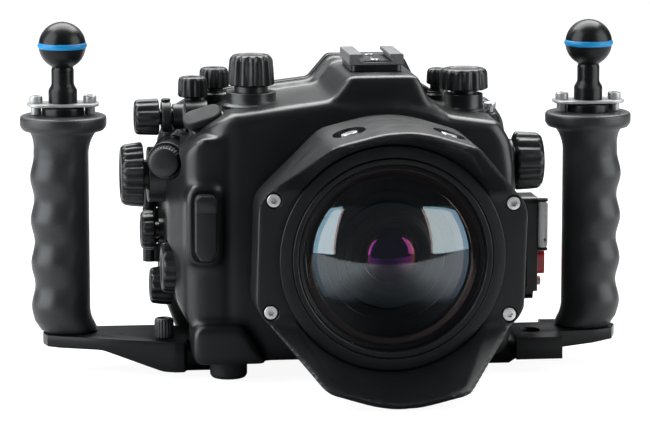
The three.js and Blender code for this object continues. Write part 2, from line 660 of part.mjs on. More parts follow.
function addPort() {
  const group = new THREE.Group();
  group.position.copy(portCentre);
  group.rotation.set(Math.PI / 2, 0, THREE.MathUtils.degToRad(-hood.rollDegrees));
  housing.add(group);
  const origin = new THREE.Vector3();
  const add = (name, geometry, material, at = origin) => addPiece(name, geometry, material, at, up, group);
  add('port_barrel', barrelGeometry(), materials.casing);
  add('dome_glass', domeGeometry(), materials.glass);
  add('glass_ring', glassRingGeometry(), materials.casing);
  add('port_baffle', baffleGeometry(), materials.control);
  add('inner_lens', lensGeometry(), materials.glass);
  add('port_hood', hoodGeometry(), materials.hood);
  screwPlaces().forEach(([x, y], i) => {
    add(`hood_screw_${i + 1}`, hoodScrewGeometry(), materials.steel, new THREE.Vector3(x, y, 0));
  });
}

// Hinge at the left rear edge: the casing has the odd knuckles and the cover the even ones.
const hingeAt = new THREE.Vector3(
  body.left - flange.left - hinge.out, body.back + cover.gap / 2, body.bottom + hinge.fromBottom,
);
function hingeKnuckles(first) {
  const knuckles = [];
  const inCasing = first === 0;
  const webFrom = inCasing ? body.back - hinge.web : body.back + cover.gap;
  for (let i = first; i < hinge.count; i += 2) {
    const from = i * hinge.knuckle + runningGap / 2;
    const to = (i + 1) * hinge.knuckle - runningGap / 2;
    const eye = placed(drum(hinge.radius, from, to), hingeAt);
    const web = alongZ(rectangle(hingeAt.x, webFrom, hingeAt.x + hinge.out + overrun, webFrom + hinge.web),
      hingeAt.z + from, hingeAt.z + to);
    knuckles.push(join(eye, web));
  }
  return knuckles;
}
const hingeLength = hinge.knuckle * hinge.count;
const hingeBore = () => placed(shaftHole(hinge.pin, -overrun, hingeLength + overrun), hingeAt);

// Rear cover with its window opening, eyepiece opening, hinge eyes and latch strike.
const coverBack = body.back + cover.gap + cover.thick;
const windowBox = {
  left: body.left + rearWindow.fromLeft, right: body.left + rearWindow.fromLeft + rearWindow.width,
  bottom: body.bottom + rearWindow.fromBottom, top: body.bottom + rearWindow.fromBottom + rearWindow.height,
};
function windowShape(shrink) {
  const { left: l, right: r, bottom: b, top: t } = windowBox;
  return rectangle(l + shrink, b + shrink, r - shrink, t - shrink, rearWindow.round);
}
const eyeAt = new THREE.Vector3(body.left + eyepiece.fromLeft, coverBack, body.top - eyepiece.fromTop);
function eyeShape(shrink) {
  const halfWidth = eyepiece.width / 2 - shrink;
  const halfHeight = eyepiece.height / 2 - shrink;
  return rectangle(eyeAt.x - halfWidth, eyeAt.z - halfHeight, eyeAt.x + halfWidth, eyeAt.z + halfHeight,
    eyepiece.round);
}
const buttonPlaces = () => Array.from({ length: rearButtons.count }, (_, i) => new THREE.Vector3(
  body.right - rearButtons.fromRight, coverBack, body.bottom + rearButtons.fromBottom + i * rearButtons.pitch,
));
const rearDialAt = new THREE.Vector3(body.right - rearDial.fromRight, coverBack, body.top - rearDial.fromTop);
const leverFoot = body.bottom + latch.fromBottom + latch.leverFrom;

function coverGeometry() {
  const plate = alongY(outlineIn(flangeBox()), body.back + cover.gap, coverBack);
  const edge = body.right + flange.right;
  const strikeFoot = leverFoot + strike.fromLeverFoot;
  const strikeBlock = alongY(rectangle(edge - strike.inside, strikeFoot, edge + strike.outside,
    strikeFoot + strike.height), body.back + cover.gap, coverBack);
  const through = coverBack - body.back + overrun;
  const recess = alongY(windowShape(0), coverBack - rearWindow.thick - seatGap, coverBack + overrun);
  const opening = alongY(windowShape(rearWindow.rim), body.back, coverBack);
  const eyeRecess = alongY(eyeShape(eyepiece.wall - seatGap), coverBack - eyepiece.glass - seatGap,
    coverBack + overrun);
  const eyeOpening = alongY(eyeShape(eyepiece.wall + rearWindow.rim / 2), body.back, coverBack);
  const stem = shaftHole(rearButtons.stem, -through, overrun);
  const stems = buttonPlaces().map((at) => placed(stem, at, backward));
  const dialHole = placed(shaftHole(rearDial.shaft, -through, overrun), rearDialAt, backward);
  return cut(join(plate, strikeBlock, ...hingeKnuckles(1)), recess, opening, eyeRecess, eyeOpening, hingeBore(),
    dialHole, ...stems);
}

function addRearCover() {
  addPiece('rear_cover', coverGeometry(), materials.casing);
  addPiece('main_seal', sealRing(seatGap, sealGroove.proud), materials.blueRubber);
  addPiece('hinge_pin', drum(hinge.pin, 0, hingeLength, shaftSides), materials.steel, hingeAt);
  const pane = alongY(windowShape(seatGap), coverBack - rearWindow.thick, coverBack);
  addPiece('rear_window', pane, materials.glass);
  const lens = alongY(eyeShape(eyepiece.wall), coverBack - eyepiece.glass, coverBack);
  addPiece('viewfinder_glass', lens, materials.glass);
  const cupFront = coverBack + seatGap;
  const cup = cut(alongY(eyeShape(0), cupFront, cupFront + eyepiece.depth),
    alongY(eyeShape(eyepiece.wall), coverBack, cupFront + eyepiece.depth + overrun));
  addPiece('viewfinder_cup', cup, materials.rubber);
  const underside = rearButtons.travel + seatGap;
  buttonPlaces().forEach((at, i) => {
    const cap = join(drum(rearButtons.radius, underside, underside + rearButtons.rise),
      drum(rearButtons.stem, -cover.thick, underside + rearButtons.rise / 2, shaftSides));
    addPiece(`rear_button_${i + 1}`, cap, materials.control, at, backward);
  });
  addPiece('rear_dial', knobGeometry(rearDial, cover.thick), materials.control,
    rearDialAt.clone().setY(coverBack + knobNeckGap), backward);
}

// Latch: a base on the casing's side, a lever on a fixed pin, a sprung lock and the screw that holds the base.
const latchFoot = body.bottom + latch.fromBottom;
const latchFace = body.right + latch.out;
const leverPivot = new THREE.Vector3(
  latchFace + seatGap + latch.leverThick / 2, latch.front + latch.leverThick / 2 + seatGap * 2, leverFoot,
);
const lockShape = (spread) => rectangle(
  latch.front + latch.lockFront - spread, latchFoot + latch.lockFrom - spread,
  latch.front + latch.lockFront + latch.lockWidth + spread,
  latchFoot + latch.lockFrom + latch.lockHeight + spread,
  latch.lockRound,
);
const latchMiddle = (latch.front + latch.back) / 2;
const latchScrewAt = new THREE.Vector3(latchFace, latchMiddle, latchFoot + latch.screwFrom);

function latchBaseGeometry() {
  const blank = alongX(rectangle(latch.front, latchFoot, latch.back, latchFoot + latch.height, latch.round),
    body.right + seatGap, latchFace);
  const half = latch.leverThick / 2;
  const lug = rectangle(body.right + latch.out / 2, leverPivot.y - half, latchFace + seatGap + latch.leverThick,
    leverPivot.y + half);
  const low = leverFoot - runningGap;
  const high = leverFoot + latch.leverHeight + runningGap;
  const pin = drum(latch.pin, low - latch.lug / 2, high + latch.lug / 2, shaftSides)
    .translate(leverPivot.x, leverPivot.y, 0);
  const pocket = alongX(lockShape(runningGap), latchFace - latch.lockSunk - latch.lockTravel - runningGap,
    latchFace + overrun);
  const head = drum(latch.screwRadius, -latch.screwProud, latch.screwProud, shaftSides);
  const lowLug = alongZ(lug, low - latch.lug, low);
  const highLug = alongZ(lug, high, high + latch.lug);
  return cut(join(blank, lowLug, highLug, pin, placed(head, latchScrewAt, right)), pocket);
}

function latchLeverGeometry() {
  const half = latch.leverThick / 2;
  const outline = roundedOutline([
    [-half, -half, half], [half, -half, half], [half, latch.leverLength - half, half / 2],
    [-half, latch.leverLength - half, half / 2],
  ]);
  return cut(alongZ(outline, 0, latch.leverHeight),
    shaftHole(latch.pin, -overrun, latch.leverHeight + overrun));
}

function addLatch() {
  addPiece('latch_base', latchBaseGeometry(), materials.control);
  addPiece('latch_lever', latchLeverGeometry(), materials.steel, leverPivot);
  const lock = alongX(lockShape(0), latchFace - latch.lockSunk, latchFace + latch.lockProud);
  addPiece('latch_lock', lock, materials.red);
}

// Accessory shoe on the hump: a black base plate and bright rails.
function addShoe() {
  const x = body.left + shoe.fromLeft;
  const half = shoe.width / 2;
  const foot = body.top + seatGap;
  const back = shoe.front + shoe.length;
  const spread = shoe.baseSpread / 2;
  const plan = rectangle(x - half + spread, shoe.front - spread, x + half - spread, back + spread, spread * 2);
  addPiece('shoe_base', alongZ(plan, foot, foot + shoe.baseHeight), materials.casing);
  const mouth = shoe.mouth / 2;
  const slot = shoe.slot / 2;
  const lipFoot = shoe.floor + shoe.slotHeight;
  const top = lipFoot + shoe.lip;
  const section = new THREE.Shape([
    [-half, 0], [half, 0], [half, top], [mouth, top], [mouth, lipFoot], [slot, lipFoot], [slot, shoe.floor],
    [-slot, shoe.floor], [-slot, lipFoot], [-mouth, lipFoot], [-mouth, top], [-half, top],
  ].map(([a, b]) => new THREE.Vector2(a, b)));
  addPiece('shoe_rails', alongY(section, shoe.front, back), materials.steel,
    new THREE.Vector3(x, 0, foot + shoe.baseHeight + seatGap));
}

// Feet under the casing.
function addFeet() {
  const top = body.bottom - seatGap;
  const { radius, rimRadius, rim } = footPad;
  const pad = turned([[0, 0], [rimRadius, 0], [radius, rim], [radius, top], [0, top]], smallSides);
  const xs = { left: body.left + footPad.fromLeft, right: body.right - footPad.fromRight };
  const ys = { front: body.front + footPad.fromFront, rear: body.back - footPad.fromBack };
  Object.entries(xs).forEach(([side, x]) => {
    Object.entries(ys).forEach(([end, y]) => {
      addPiece(`${end}_${side}_foot`, pad.clone(), materials.rubber, new THREE.Vector3(x, y, 0));
    });
  });
}

// Arms: flat bars that run under the casing and carry the handles.
const tongueTop = body.bottom - seatGap;
const boltHole = (x, y) => shaftHole(handle.boltRadius, 0, body.top).translate(x, y, 0);

function leftArmGeometry() {
  const arm = leftArm;
  const x = -handle.x;
  const end = x - arm.halfWidth;
  const inner = body.left + arm.fromLeft;
  const outline = roundedOutline([
    [end, arm.top - arm.endThick], [x + arm.bend, arm.top - arm.endThick, arm.root],
    [inner - arm.root - arm.fromLeft, arm.bottom, arm.tongueRound], [inner, arm.bottom],
    [inner, arm.shoulder], [inner - arm.root, arm.top], [end, arm.top],
  ]);
  const bar = alongY(outline, arm.wingFront - overrun, arm.back + 2 * overrun);
  const wing = body.left + cornerBlock.fromLeft - arm.wingClear;
  const plan = roundedOutline([
    [x - arm.halfWidth, handle.leftY - arm.halfWidth, arm.halfWidth], [wing, arm.wingFront, arm.wingRound],
    [wing, arm.front], [inner, arm.front], [inner, arm.back],
    [x - arm.halfWidth, handle.leftY + arm.halfWidth, arm.halfWidth],
  ]);
  const shaped = overlap(bar, alongZ(plan, 0, arm.top + overrun));
  const under = alongZ(rectangle(inner - arm.root, tongue.front, body.left + arm.tongueReach, tongue.back),
    tongue.bottom, tongueTop);
  const thumbHole = shaftHole(armThumb.shaft, arm.top - armThumb.depth - runningGap, arm.top + overrun)
    .translate(body.left + armThumb.fromLeft, armThumb.y, 0);
  return cut(join(shaped, under), boltHole(x, handle.leftY), thumbHole);
}

function rightArmGeometry() {
  const arm = rightArm;
  const x = handle.x;
  const inner = body.right + seatGap;
  const outer = inner + arm.blockWidth;
  const block = alongY(rectangle(inner, arm.blockBottom, outer, arm.blockTop), arm.blockFront, arm.blockBack);
  const end = x + arm.halfWidth;
  const bar = alongZ(roundedOutline([
    [outer - overrun, arm.front], [end, handle.rightY - arm.halfWidth, arm.halfWidth],
    [end, handle.rightY + arm.halfWidth, arm.halfWidth], [outer - overrun, arm.back],
  ]), arm.blockBottom, arm.top);
  const taper = alongY(roundedOutline([
    [outer - overrun, arm.top - arm.barRoot], [end, arm.top - arm.endThick], [end, arm.top],
    [outer - overrun, arm.top],
  ]), arm.front - overrun, arm.back + overrun);
  const under = alongY(roundedOutline([
    [body.right - arm.tongueReach, tongue.bottom], [inner, tongue.bottom], [inner + arm.root, arm.blockBottom],
    [inner + arm.root, tongueTop], [body.right - arm.tongueReach, tongueTop],
  ]), tongue.front, tongue.back);
  const slotX = inner + arm.slotFromWall;
  const halfWidth = arm.slotWidth / 2;
  const halfLength = arm.slotLength / 2;
  const slotShape = rectangle(slotX - halfWidth, arm.slotY - halfLength, slotX + halfWidth,
    arm.slotY + halfLength, halfWidth);
  const slot = alongZ(slotShape, 0, arm.blockTop + overrun);
  const headSeat = drum(handle.boltHead + runningGap, 0, arm.top - arm.endThick, shaftSides)
    .translate(x, handle.rightY, 0);
  return cut(join(block, overlap(bar, taper), under), slot, headSeat, boltHole(x, handle.rightY));
}

// Handle: a grip with finger swells on its outer side, a toe on its inner side and a flange, the bolt through it
// and the ball mount.
function gripRadius(height) {
  const flareFrom = grip.length - grip.flare;
  if (height < grip.baseHeight) {
    return height === 0 ? grip.base - grip.baseRound : grip.base;
  }
  if (height > flareFrom) {
    const share = (height - flareFrom) / grip.flare;
    return grip.waist + (grip.flangeRadius - grip.flangeRound - grip.waist) * share ** 2;
  }
  return grip.waist;
}
function gripSwell(height) {
  const last = grip.firstBump + grip.bumpPitch * (grip.bumps - 0.5);
  const first = grip.firstBump - grip.bumpPitch / 2;
  const phase = (height - grip.firstBump) / grip.bumpPitch;
  return height > first && height < last ? grip.bump * (1 + Math.cos(2 * Math.PI * phase)) / 2 : 0;
}
const gripToe = (height) => grip.toeReach * Math.max(0, 1 - height / grip.toeHeight) ** 2;
// The grip's axis leans outward from the bolt's, except at the flange.
const gripLean = (height) => grip.lean * (height > grip.length - grip.flare ? 0 : 1);
function gripGeometry(side) {
  const steps = Array.from({ length: 2 * grip.bumps }, (_, i) => grip.firstBump + (i * grip.bumpPitch) / 2);
  const flareFrom = grip.length - grip.flare;
  const heights = [0, grip.baseRound, grip.baseHeight, ...steps, flareFrom + grip.flare / 2,
    flareFrom + grip.flare * grip.flareShare, grip.length];
  const skin = heights.map((height) => ({
    height, radius: gripRadius(height), swell: gripSwell(height), toe: gripToe(height), lean: gripLean(height),
  }));
  const top = grip.length + grip.flangeHeight;
  const disc = [
    [grip.length + grip.flangeRound / 2, grip.flangeRadius], [top - grip.flangeRound, grip.flangeRadius],
    [top, grip.flangeRadius - grip.flangeRound],
  ].map(([height, radius]) => ({ height, radius, swell: 0, toe: 0, lean: 0 }));
  const outside = loft([...skin, ...disc], gripSides, ({ height, radius, swell, toe, lean }, i) => {
    const angle = (i / gripSides) * 2 * Math.PI;
    const outward = side * Math.cos(angle);
    const reach = radius + swell * Math.max(0, outward) + toe * Math.max(0, -outward);
    return [reach * Math.cos(angle) + side * lean, reach * Math.sin(angle), height];
  });
  return cut(outside, shaftHole(handle.boltRadius, -overrun, top + overrun));
}

function ballMountGeometry() {
  const m = ballMount;
  const rise = (radius, from) => Math.sqrt(m.ballRadius ** 2 - radius ** 2) * from;
  const grooveHalf = ballRing.thick + seatGap;
  const grooveFloor = ballRing.radius - ballRing.thick - seatGap;
  const low = Math.asin(rise(m.stemRadius, 1) / m.ballRadius);
  const high = Math.asin(grooveHalf / m.ballRadius);
  const arc = (from, to) => Array.from({ length: m.steps + 1 }, (_, i) => {
    const angle = from + (to - from) * (i / m.steps);
    return [m.ballRadius * Math.cos(angle), m.ballRise + m.ballRadius * Math.sin(angle)];
  });
  return turned([
    [0, 0], [m.lipRadius, 0], [m.lipRadius, m.lipHeight], [m.socketRadius, m.lipHeight],
    [m.socketRadius, m.socketHeight - m.chamfer], [m.socketRadius - m.chamfer, m.socketHeight],
    [m.stemRadius, m.socketHeight + m.chamfer], ...arc(-low, -high), [grooveFloor, m.ballRise - grooveHalf],
    [grooveFloor, m.ballRise + grooveHalf], ...arc(high, Math.PI / 2),
  ], ballSides);
}

function ballRingGeometry() {
  const profile = Array.from({ length: ballRing.sides }, (_, i) => {
    const angle = (i / ballRing.sides) * 2 * Math.PI;
    return [ballRing.radius + ballRing.thick * Math.cos(angle), ballRing.thick * Math.sin(angle)];
  });
  return turnedRing(profile, ballSides);
}

function clampBarGeometry() {
  const bar = clampBar;
  const foot = ballMount.lipHeight + seatGap;
  const plan = rectangle(-bar.length / 2, -bar.width / 2, bar.length / 2, bar.width / 2, bar.round);
  const plate = alongZ(plan, foot, foot + bar.thick);
  const top = foot + bar.thick;
  const head = drum(bar.screwHead, foot + bar.thick / 2, top + bar.screwHeight, shaftSides);
  const screw = (x) => join(drum(bar.spacer, 0, top, shaftSides), head).translate(x, 0, 0);
  const hole = drum(ballMount.socketRadius + seatGap, -overrun, foot + overrun * 2, ballSides);
  return cut(join(plate, screw(-bar.screwSpread), screw(bar.screwSpread)), hole);
}

function addHandle(name, side, y, armTop, armThick) {
  const group = new THREE.Group();
  group.position.set(side * handle.x, y, armTop + seatGap);
  housing.add(group);
  const add = (part, geometry, material, z = 0) => addPiece(`${name}_${part}`, geometry, material,
    new THREE.Vector3(0, 0, z), up, group);
  const gripTop = grip.length + grip.flangeHeight;
  const shank = -armThick - 2 * seatGap;
  add('grip', gripGeometry(side), materials.grip);
  const boltHead = drum(handle.boltHead, shank - handle.boltHeadHeight, shank, shaftSides);
  const boltShank = drum(handle.boltRadius, shank - handle.boltHeadHeight / 2, gripTop - overrun / 2, shaftSides);
  add('handle_bolt', join(boltHead, boltShank), materials.steel);
  add('ball_mount', ballMountGeometry(), materials.casing, gripTop + seatGap);
  add('ball_ring', ballRingGeometry(), materials.blueRubber, gripTop + seatGap + ballMount.ballRise);
  add('clamp_bar', clampBarGeometry(), materials.steel, gripTop + seatGap);
}

// Port release lever on the front left corner, on its boss.
const leverPlane = body.front - portLever.boss;
const portLeverPivot = new THREE.Vector3(
  body.left + portLever.fromLeft, leverPlane - seatGap,
  body.bottom + portLever.fromBottom + portLever.length - portLever.pivotFromTop,
);
function leverShape(spread) {
  const half = portLever.width / 2 + spread;
  const foot = body.bottom + portLever.fromBottom;
  const top = foot + portLever.length;
  return rectangle(portLeverPivot.x - half, foot - spread, portLeverPivot.x + half, top + spread,
    portLever.round);
}
const leverBoss = () => alongY(leverShape(0), leverPlane, leverPlane + portLever.bossDepth);
const leverShaftHole = () => placed(
  shaftHole(portLever.shaft, -portLever.shaftLength - runningGap, overrun), portLeverPivot, forward,
);
function portLeverGeometry() {
  const face = leverPlane - seatGap - portLever.thick;
  const half = portLever.width / 2;
  const top = body.bottom + portLever.fromBottom + portLever.length;
  const pad = alongY(rectangle(portLeverPivot.x - half, top - portLever.padLength, portLeverPivot.x + half, top,
    portLever.round / 2), face - portLever.padProud, face + portLever.thick / 2);
  const shaft = placed(drum(portLever.shaft, -portLever.shaftLength, portLever.thick / 2, shaftSides),
    portLeverPivot, forward);
  return join(alongY(leverShape(0), face, leverPlane - seatGap), pad, shaft);
}

// Shutter pad: an oval plate on a stem, on a boss that leans with the shoulder.
const padAt = new THREE.Vector3(body.left + shutterPad.fromLeft, shutterPad.y, body.top - shutterPad.fromTop);
const padDirection = new THREE.Vector3(...shutterPad.tiltShares);
const ovalShape = (inset) => rectangle(-shutterPad.halfLength + inset, -shutterPad.halfWidth + inset,
  shutterPad.halfLength - inset, shutterPad.halfWidth - inset, shutterPad.halfWidth);
const padBoss = () => placed(
  alongZ(ovalShape(shutterPad.bossInset), -shutterPad.bossDepth, 0), padAt, padDirection,
);
const padHole = () => placed(
  shaftHole(shutterPad.stem, -shutterPad.stemLength - shutterPad.travel - runningGap, overrun),
  padAt, padDirection,
);
function shutterPadGeometry() {
  const underside = shutterPad.travel + seatGap;
  return join(alongZ(ovalShape(0), underside, underside + shutterPad.thick),
    drum(shutterPad.stem, -shutterPad.stemLength, underside + shutterPad.thick / 2, shaftSides));
}

// Small push button on the right shoulder.
const topButtonX = body.right - topButton.fromRight;
const topButtonAt = new THREE.Vector3(topButtonX, topButton.y, roofAt(topButtonX) + topButton.collarRise);
const buttonCollar = () => placed(drum(topButton.collar, -topButton.collarRise - body.wall, 0), topButtonAt);
const buttonHole = () => placed(
  shaftHole(topButton.stem, -topButton.stemLength - topButton.travel - runningGap, overrun), topButtonAt,
);
function topButtonGeometry() {
  const underside = topButton.travel + seatGap;
  return join(drum(topButton.radius, underside, underside + topButton.thick),
    drum(topButton.stem, -topButton.stemLength, underside + topButton.thick / 2, shaftSides));
}

// Power lever: a ring with a tip that turns on the flash knob's neck.
function powerLeverGeometry() {
  const { width, collar, tipRadius, tipReach } = powerLever;
  const tip = rectangle(0, -tipRadius, tipReach, tipRadius, tipRadius);
  return cut(join(drum(collar, 0, width), alongZ(tip, 0, width)),
    drum(leftKnobs.flash_knob.neck + runningGap, -overrun, width + overrun));
}

function addControls() {
  knobs.forEach(({ name, knob, at, direction, depth }) => {
    addPiece(name, knobGeometry(knob, depth - seatGap), materials.control, at, direction);
  });
  const flash = knobs.find(({ name }) => name === 'flash_knob');
  addPiece('power_lever', powerLeverGeometry(), materials.control,
    flash.at.clone().setX(body.left - powerLever.standoff), left);
  addPiece('port_release_lever', portLeverGeometry(), materials.control);
  addPiece('shutter_pad', shutterPadGeometry(), materials.control, padAt, padDirection);
  addPiece('top_button', topButtonGeometry(), materials.steel, topButtonAt);
  const thumbAt = new THREE.Vector3(body.left + armThumb.fromLeft, armThumb.y, leftArm.top + knobNeckGap);
  addPiece('arm_thumb_screw', knobGeometry(armThumb, armThumb.depth), materials.control, thumbAt);
}

function addTray() {
  const x = body.left + tray.fromLeft;
  const foot = body.bottom + body.wall + seatGap;
  const plan = rectangle(x, tray.front, x + tray.width, tray.back, tray.round);
  const plate = alongZ(plan, foot, foot + tray.thick);
  const stud = drum(tray.screwRadius, foot + tray.thick / 2, foot + tray.thick + tray.screwRise)
    .translate(x + tray.width / 2, (tray.front + tray.back) / 2, 0);
  addPiece('camera_tray', join(plate, stud), materials.steel);
}

addPiece('front_casing', casingGeometry(), materials.casing);
addPort();
addRearCover();
addLatch();
addShoe();
addFeet();
addTray();
addPiece('left_arm', leftArmGeometry(), materials.casing);
addPiece('right_arm', rightArmGeometry(), materials.casing);
addHandle('left', -1, handle.leftY, leftArm.top, leftArm.endThick);
addHandle('right', 1, handle.rightY, rightArm.top, rightArm.endThick);
addControls();

// The origin goes under the middle of the box, between the hood's front and the eyepiece's back.
const frontmost = body.front - hood.front;
const rearmost = coverBack + seatGap + eyepiece.depth;
housing.position.y = -(frontmost + rearmost) / 2;

export default housing;
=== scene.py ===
# Underwater camera housing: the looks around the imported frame.
# Settings are in millimetres. X is right as seen from the front, the front faces -Y, Z is up.
import math

import bmesh
import bpy
from mathutils import Matrix, Vector


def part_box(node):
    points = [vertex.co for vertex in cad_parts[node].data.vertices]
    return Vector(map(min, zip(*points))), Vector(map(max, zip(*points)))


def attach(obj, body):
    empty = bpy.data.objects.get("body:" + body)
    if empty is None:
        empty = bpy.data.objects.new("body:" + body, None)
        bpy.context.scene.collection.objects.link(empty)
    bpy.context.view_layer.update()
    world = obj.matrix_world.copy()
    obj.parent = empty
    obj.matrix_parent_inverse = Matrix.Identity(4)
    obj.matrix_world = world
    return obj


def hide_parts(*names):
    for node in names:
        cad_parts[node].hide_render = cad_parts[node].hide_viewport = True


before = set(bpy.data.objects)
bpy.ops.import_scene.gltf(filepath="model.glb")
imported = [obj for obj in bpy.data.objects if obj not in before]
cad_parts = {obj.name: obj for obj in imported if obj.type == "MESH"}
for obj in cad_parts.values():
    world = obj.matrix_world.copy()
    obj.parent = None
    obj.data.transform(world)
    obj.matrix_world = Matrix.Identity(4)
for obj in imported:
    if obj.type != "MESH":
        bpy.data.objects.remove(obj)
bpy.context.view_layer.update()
scene = bpy.context.scene

mm = 0.001
upWay, frontWay, backWay = Vector((0, 0, 1)), Vector((0, -1, 0)), Vector((0, 1, 0))
leftWay, rightWay = Vector((-1, 0, 0)), Vector((1, 0, 0))

# outline and plan are in shares of the body's size, each corner with its rounding
bodyLines = {
    "left": -77, "right": 98, "bottom": 10, "top": 163, "front": -9.4, "back": 73.6,
    "outline": [
        (0.06, 0, 0.06), (0.97, 0, 0.06), (1, 0.2, 0.08), (1, 0.6, 0.08), (0.975, 0.77, 0.04), (0.94, 0.835, 0.04),
        (0.79, 0.86, 0.04), (0.725, 0.91, 0.03), (0.69, 1, 0.03), (0.48, 1, 0.03), (0.425, 0.92, 0.03),
        (0.12, 0.875, 0.06), (0.03, 0.81, 0.07), (0, 0.7, 0.1), (0, 0.2, 0.1),
    ],
    "plan": [(0, 1, 0), (0, 0.36, 0.16), (0.08, 0, 0.2), (0.975, 0, 0.05), (1, 0.12, 0.1), (1, 1, 0)],
}
portFace = Vector((24, bodyLines["front"], 72.5))   # middle of the port on the casing's front
hinge = {"x": -94.1, "y": 73.85, "foot": 52, "pitch": 10, "gap": 0.15, "bore": 1.9, "radius": 4, "pin": 1.8,
         "webStart": -92, "webEnd": -88.6, "casingSide": (69.9, 73.4), "coverSide": (74.4, 80)}


def cornerCurve(before, here, after, reach, steps):
    # the curve that rounds a corner, from reach before it to reach after it
    start = here + (before - here).normalized() * reach
    end = here + (after - here).normalized() * reach
    return [start * (1 - t) ** 2 + here * 2 * t * (1 - t) + end * t ** 2
            for t in (k / steps for k in range(steps + 1))]


def roundOutline(corners, steps=8):
    # each corner is (x, y, radius); the curve takes at most 0.48 of a side
    points = []
    for i, (x, y, radius) in enumerate(corners):
        here = Vector((x, y))
        before, after = Vector(corners[i - 1][:2]), Vector(corners[(i + 1) % len(corners)][:2])
        half = (before - here).angle(after - here) / 2
        reach = min(radius / math.tan(half), 0.48 * min((before - here).length, (after - here).length))
        points += cornerCurve(before, here, after, reach, steps) if reach > 0 else [here]
    return points


def roundedRect(x0, y0, x1, y1, radius, grow=0):
    x0, y0, x1, y1 = x0 - grow, y0 - grow, x1 + grow, y1 + grow
    radius = max(radius + grow, 0.4)
    return roundOutline([(x0, y0, radius), (x1, y0, radius), (x1, y1, radius), (x0, y1, radius)])


def insetRect(box, inset, radius):
    # a box (x0, z0, x1, z1) made smaller, with corners of the given radius
    return roundedRect(box[0] + inset, box[1] + inset, box[2] - inset, box[3] - inset, radius)


def softProfile(corners, steps=4):
    # a profile of (radius, height) or (radius, height, rounding), open at both ends
    points = []
    for i, (radius, height, *rounding) in enumerate(corners):
        here = Vector((radius, height))
        if not rounding or i in (0, len(corners) - 1):
            points.append(here)
            continue
        before, after = Vector(corners[i - 1][:2]), Vector(corners[i + 1][:2])
        reach = min(rounding[0], 0.48 * min((before - here).length, (after - here).length))
        points += cornerCurve(before, here, after, reach, steps)
    return points


def arcPoints(centre, radius, fromDegrees, toDegrees, steps):
    angles = [math.radians(fromDegrees + (toDegrees - fromDegrees) * i / steps) for i in range(steps + 1)]
    return [(centre[0] + radius * math.cos(a), centre[1] + radius * math.sin(a)) for a in angles]


axisTurns = {
    "z": Matrix.Identity(4),
    "y": Matrix(((1, 0, 0, 0), (0, 0, -1, 0), (0, 1, 0, 0), (0, 0, 0, 1))),   # shape in X and Z, depth towards -Y
    "x": Matrix(((0, 0, 1, 0), (1, 0, 0, 0), (0, 1, 0, 0), (0, 0, 0, 1))),    # shape in Y and Z, depth towards +X
}


def bevelled(bm, edges, width, steps):
    bmesh.ops.bevel(bm, geom=edges, offset=width, segments=steps, profile=0.5, affect="EDGES", material=-1,
                    clamp_overlap=True)
    return bm


def prism(points, low, high, axis="z", edge=0, edgeSteps=3, ends="both"):
    # an outline pushed from low to high, with its end rims rounded by edge
    bm = bmesh.new()
    if axis == "y":
        low, high = -high, -low
    base = bm.faces.new([bm.verts.new((p[0], p[1], low)) for p in points])
    pushed = bmesh.ops.extrude_face_region(bm, geom=[base])["geom"]
    top = [g for g in pushed if isinstance(g, bmesh.types.BMVert)]
    bmesh.ops.translate(bm, verts=top, vec=(0, 0, high - low))
    bmesh.ops.recalc_face_normals(bm, faces=bm.faces)
    if edge:
        wanted = {"both": (low, high), "low": (low,), "high": (high,)}[ends]
        rims = [e for e in bm.edges if any(all(abs(v.co.z - w) < 1e-6 for v in e.verts) for w in wanted)]
        bevelled(bm, rims, edge, edgeSteps)
    bmesh.ops.transform(bm, matrix=axisTurns[axis], verts=bm.verts)
    if axis != "z":
        bmesh.ops.recalc_face_normals(bm, faces=bm.faces)
    return bm


def roundedBox(low, high, radius, steps=3):
    bm = bmesh.new()
    bmesh.ops.create_cube(bm, size=1)
    bmesh.ops.scale(bm, vec=Vector(high) - Vector(low), verts=bm.verts)
    bmesh.ops.translate(bm, vec=(Vector(high) + Vector(low)) / 2, verts=bm.verts)
    return bevelled(bm, bm.edges[:], radius, steps)


def turnedShape(profile, sides=96, closed=False):
    # a profile of (radius, height) spun round Z; a closed one is a ring
    bm = bmesh.new()
    verts = [bm.verts.new((r, 0, h)) for r, h in profile]
    edges = [bm.edges.new((verts[i], verts[i + 1])) for i in range(len(verts) - 1)]
    if closed:
        edges.append(bm.edges.new((verts[-1], verts[0])))
    bmesh.ops.spin(bm, geom=verts + edges, cent=(0, 0, 0), axis=(0, 0, 1), angle=2 * math.pi, steps=sides,
                   use_merge=True, use_duplicate=False)
    bmesh.ops.remove_doubles(bm, verts=bm.verts, dist=1e-4)
    bmesh.ops.recalc_face_normals(bm, faces=bm.faces)
    return bm


def softTurned(corners, sides=96, steps=4, closed=False):
    return turnedShape(softProfile(corners, steps), sides, closed)


def loftedRings(segments, levels, place):
    # rings of points joined level by level; place(level, share of a turn) gives each point
    bm = bmesh.new()
    turn = bm.verts.layers.int.new("turn")
    ring = bmesh.ops.create_circle(bm, cap_ends=False, segments=segments, radius=1)["verts"]
    for v in ring:
        v[turn] = round((math.atan2(v.co.y, v.co.x) / (2 * math.pi) % 1) * segments) % segments
    edges = firstEdges = bm.edges[:]
    for number, level in enumerate(levels):
        if number:
            grown = bmesh.ops.extrude_edge_only(bm, edges=edges)["geom"]
            edges = [g for g in grown if isinstance(g, bmesh.types.BMEdge)]
            ring = [g for g in grown if isinstance(g, bmesh.types.BMVert)]
        for v in ring:
            v.co = Vector(place(level, v[turn] / segments))
    bmesh.ops.edgeloop_fill(bm, edges=firstEdges)
    bmesh.ops.edgeloop_fill(bm, edges=edges)
    bmesh.ops.remove_doubles(bm, verts=bm.verts, dist=1e-4)
    bmesh.ops.recalc_face_normals(bm, faces=bm.faces)
    return bm


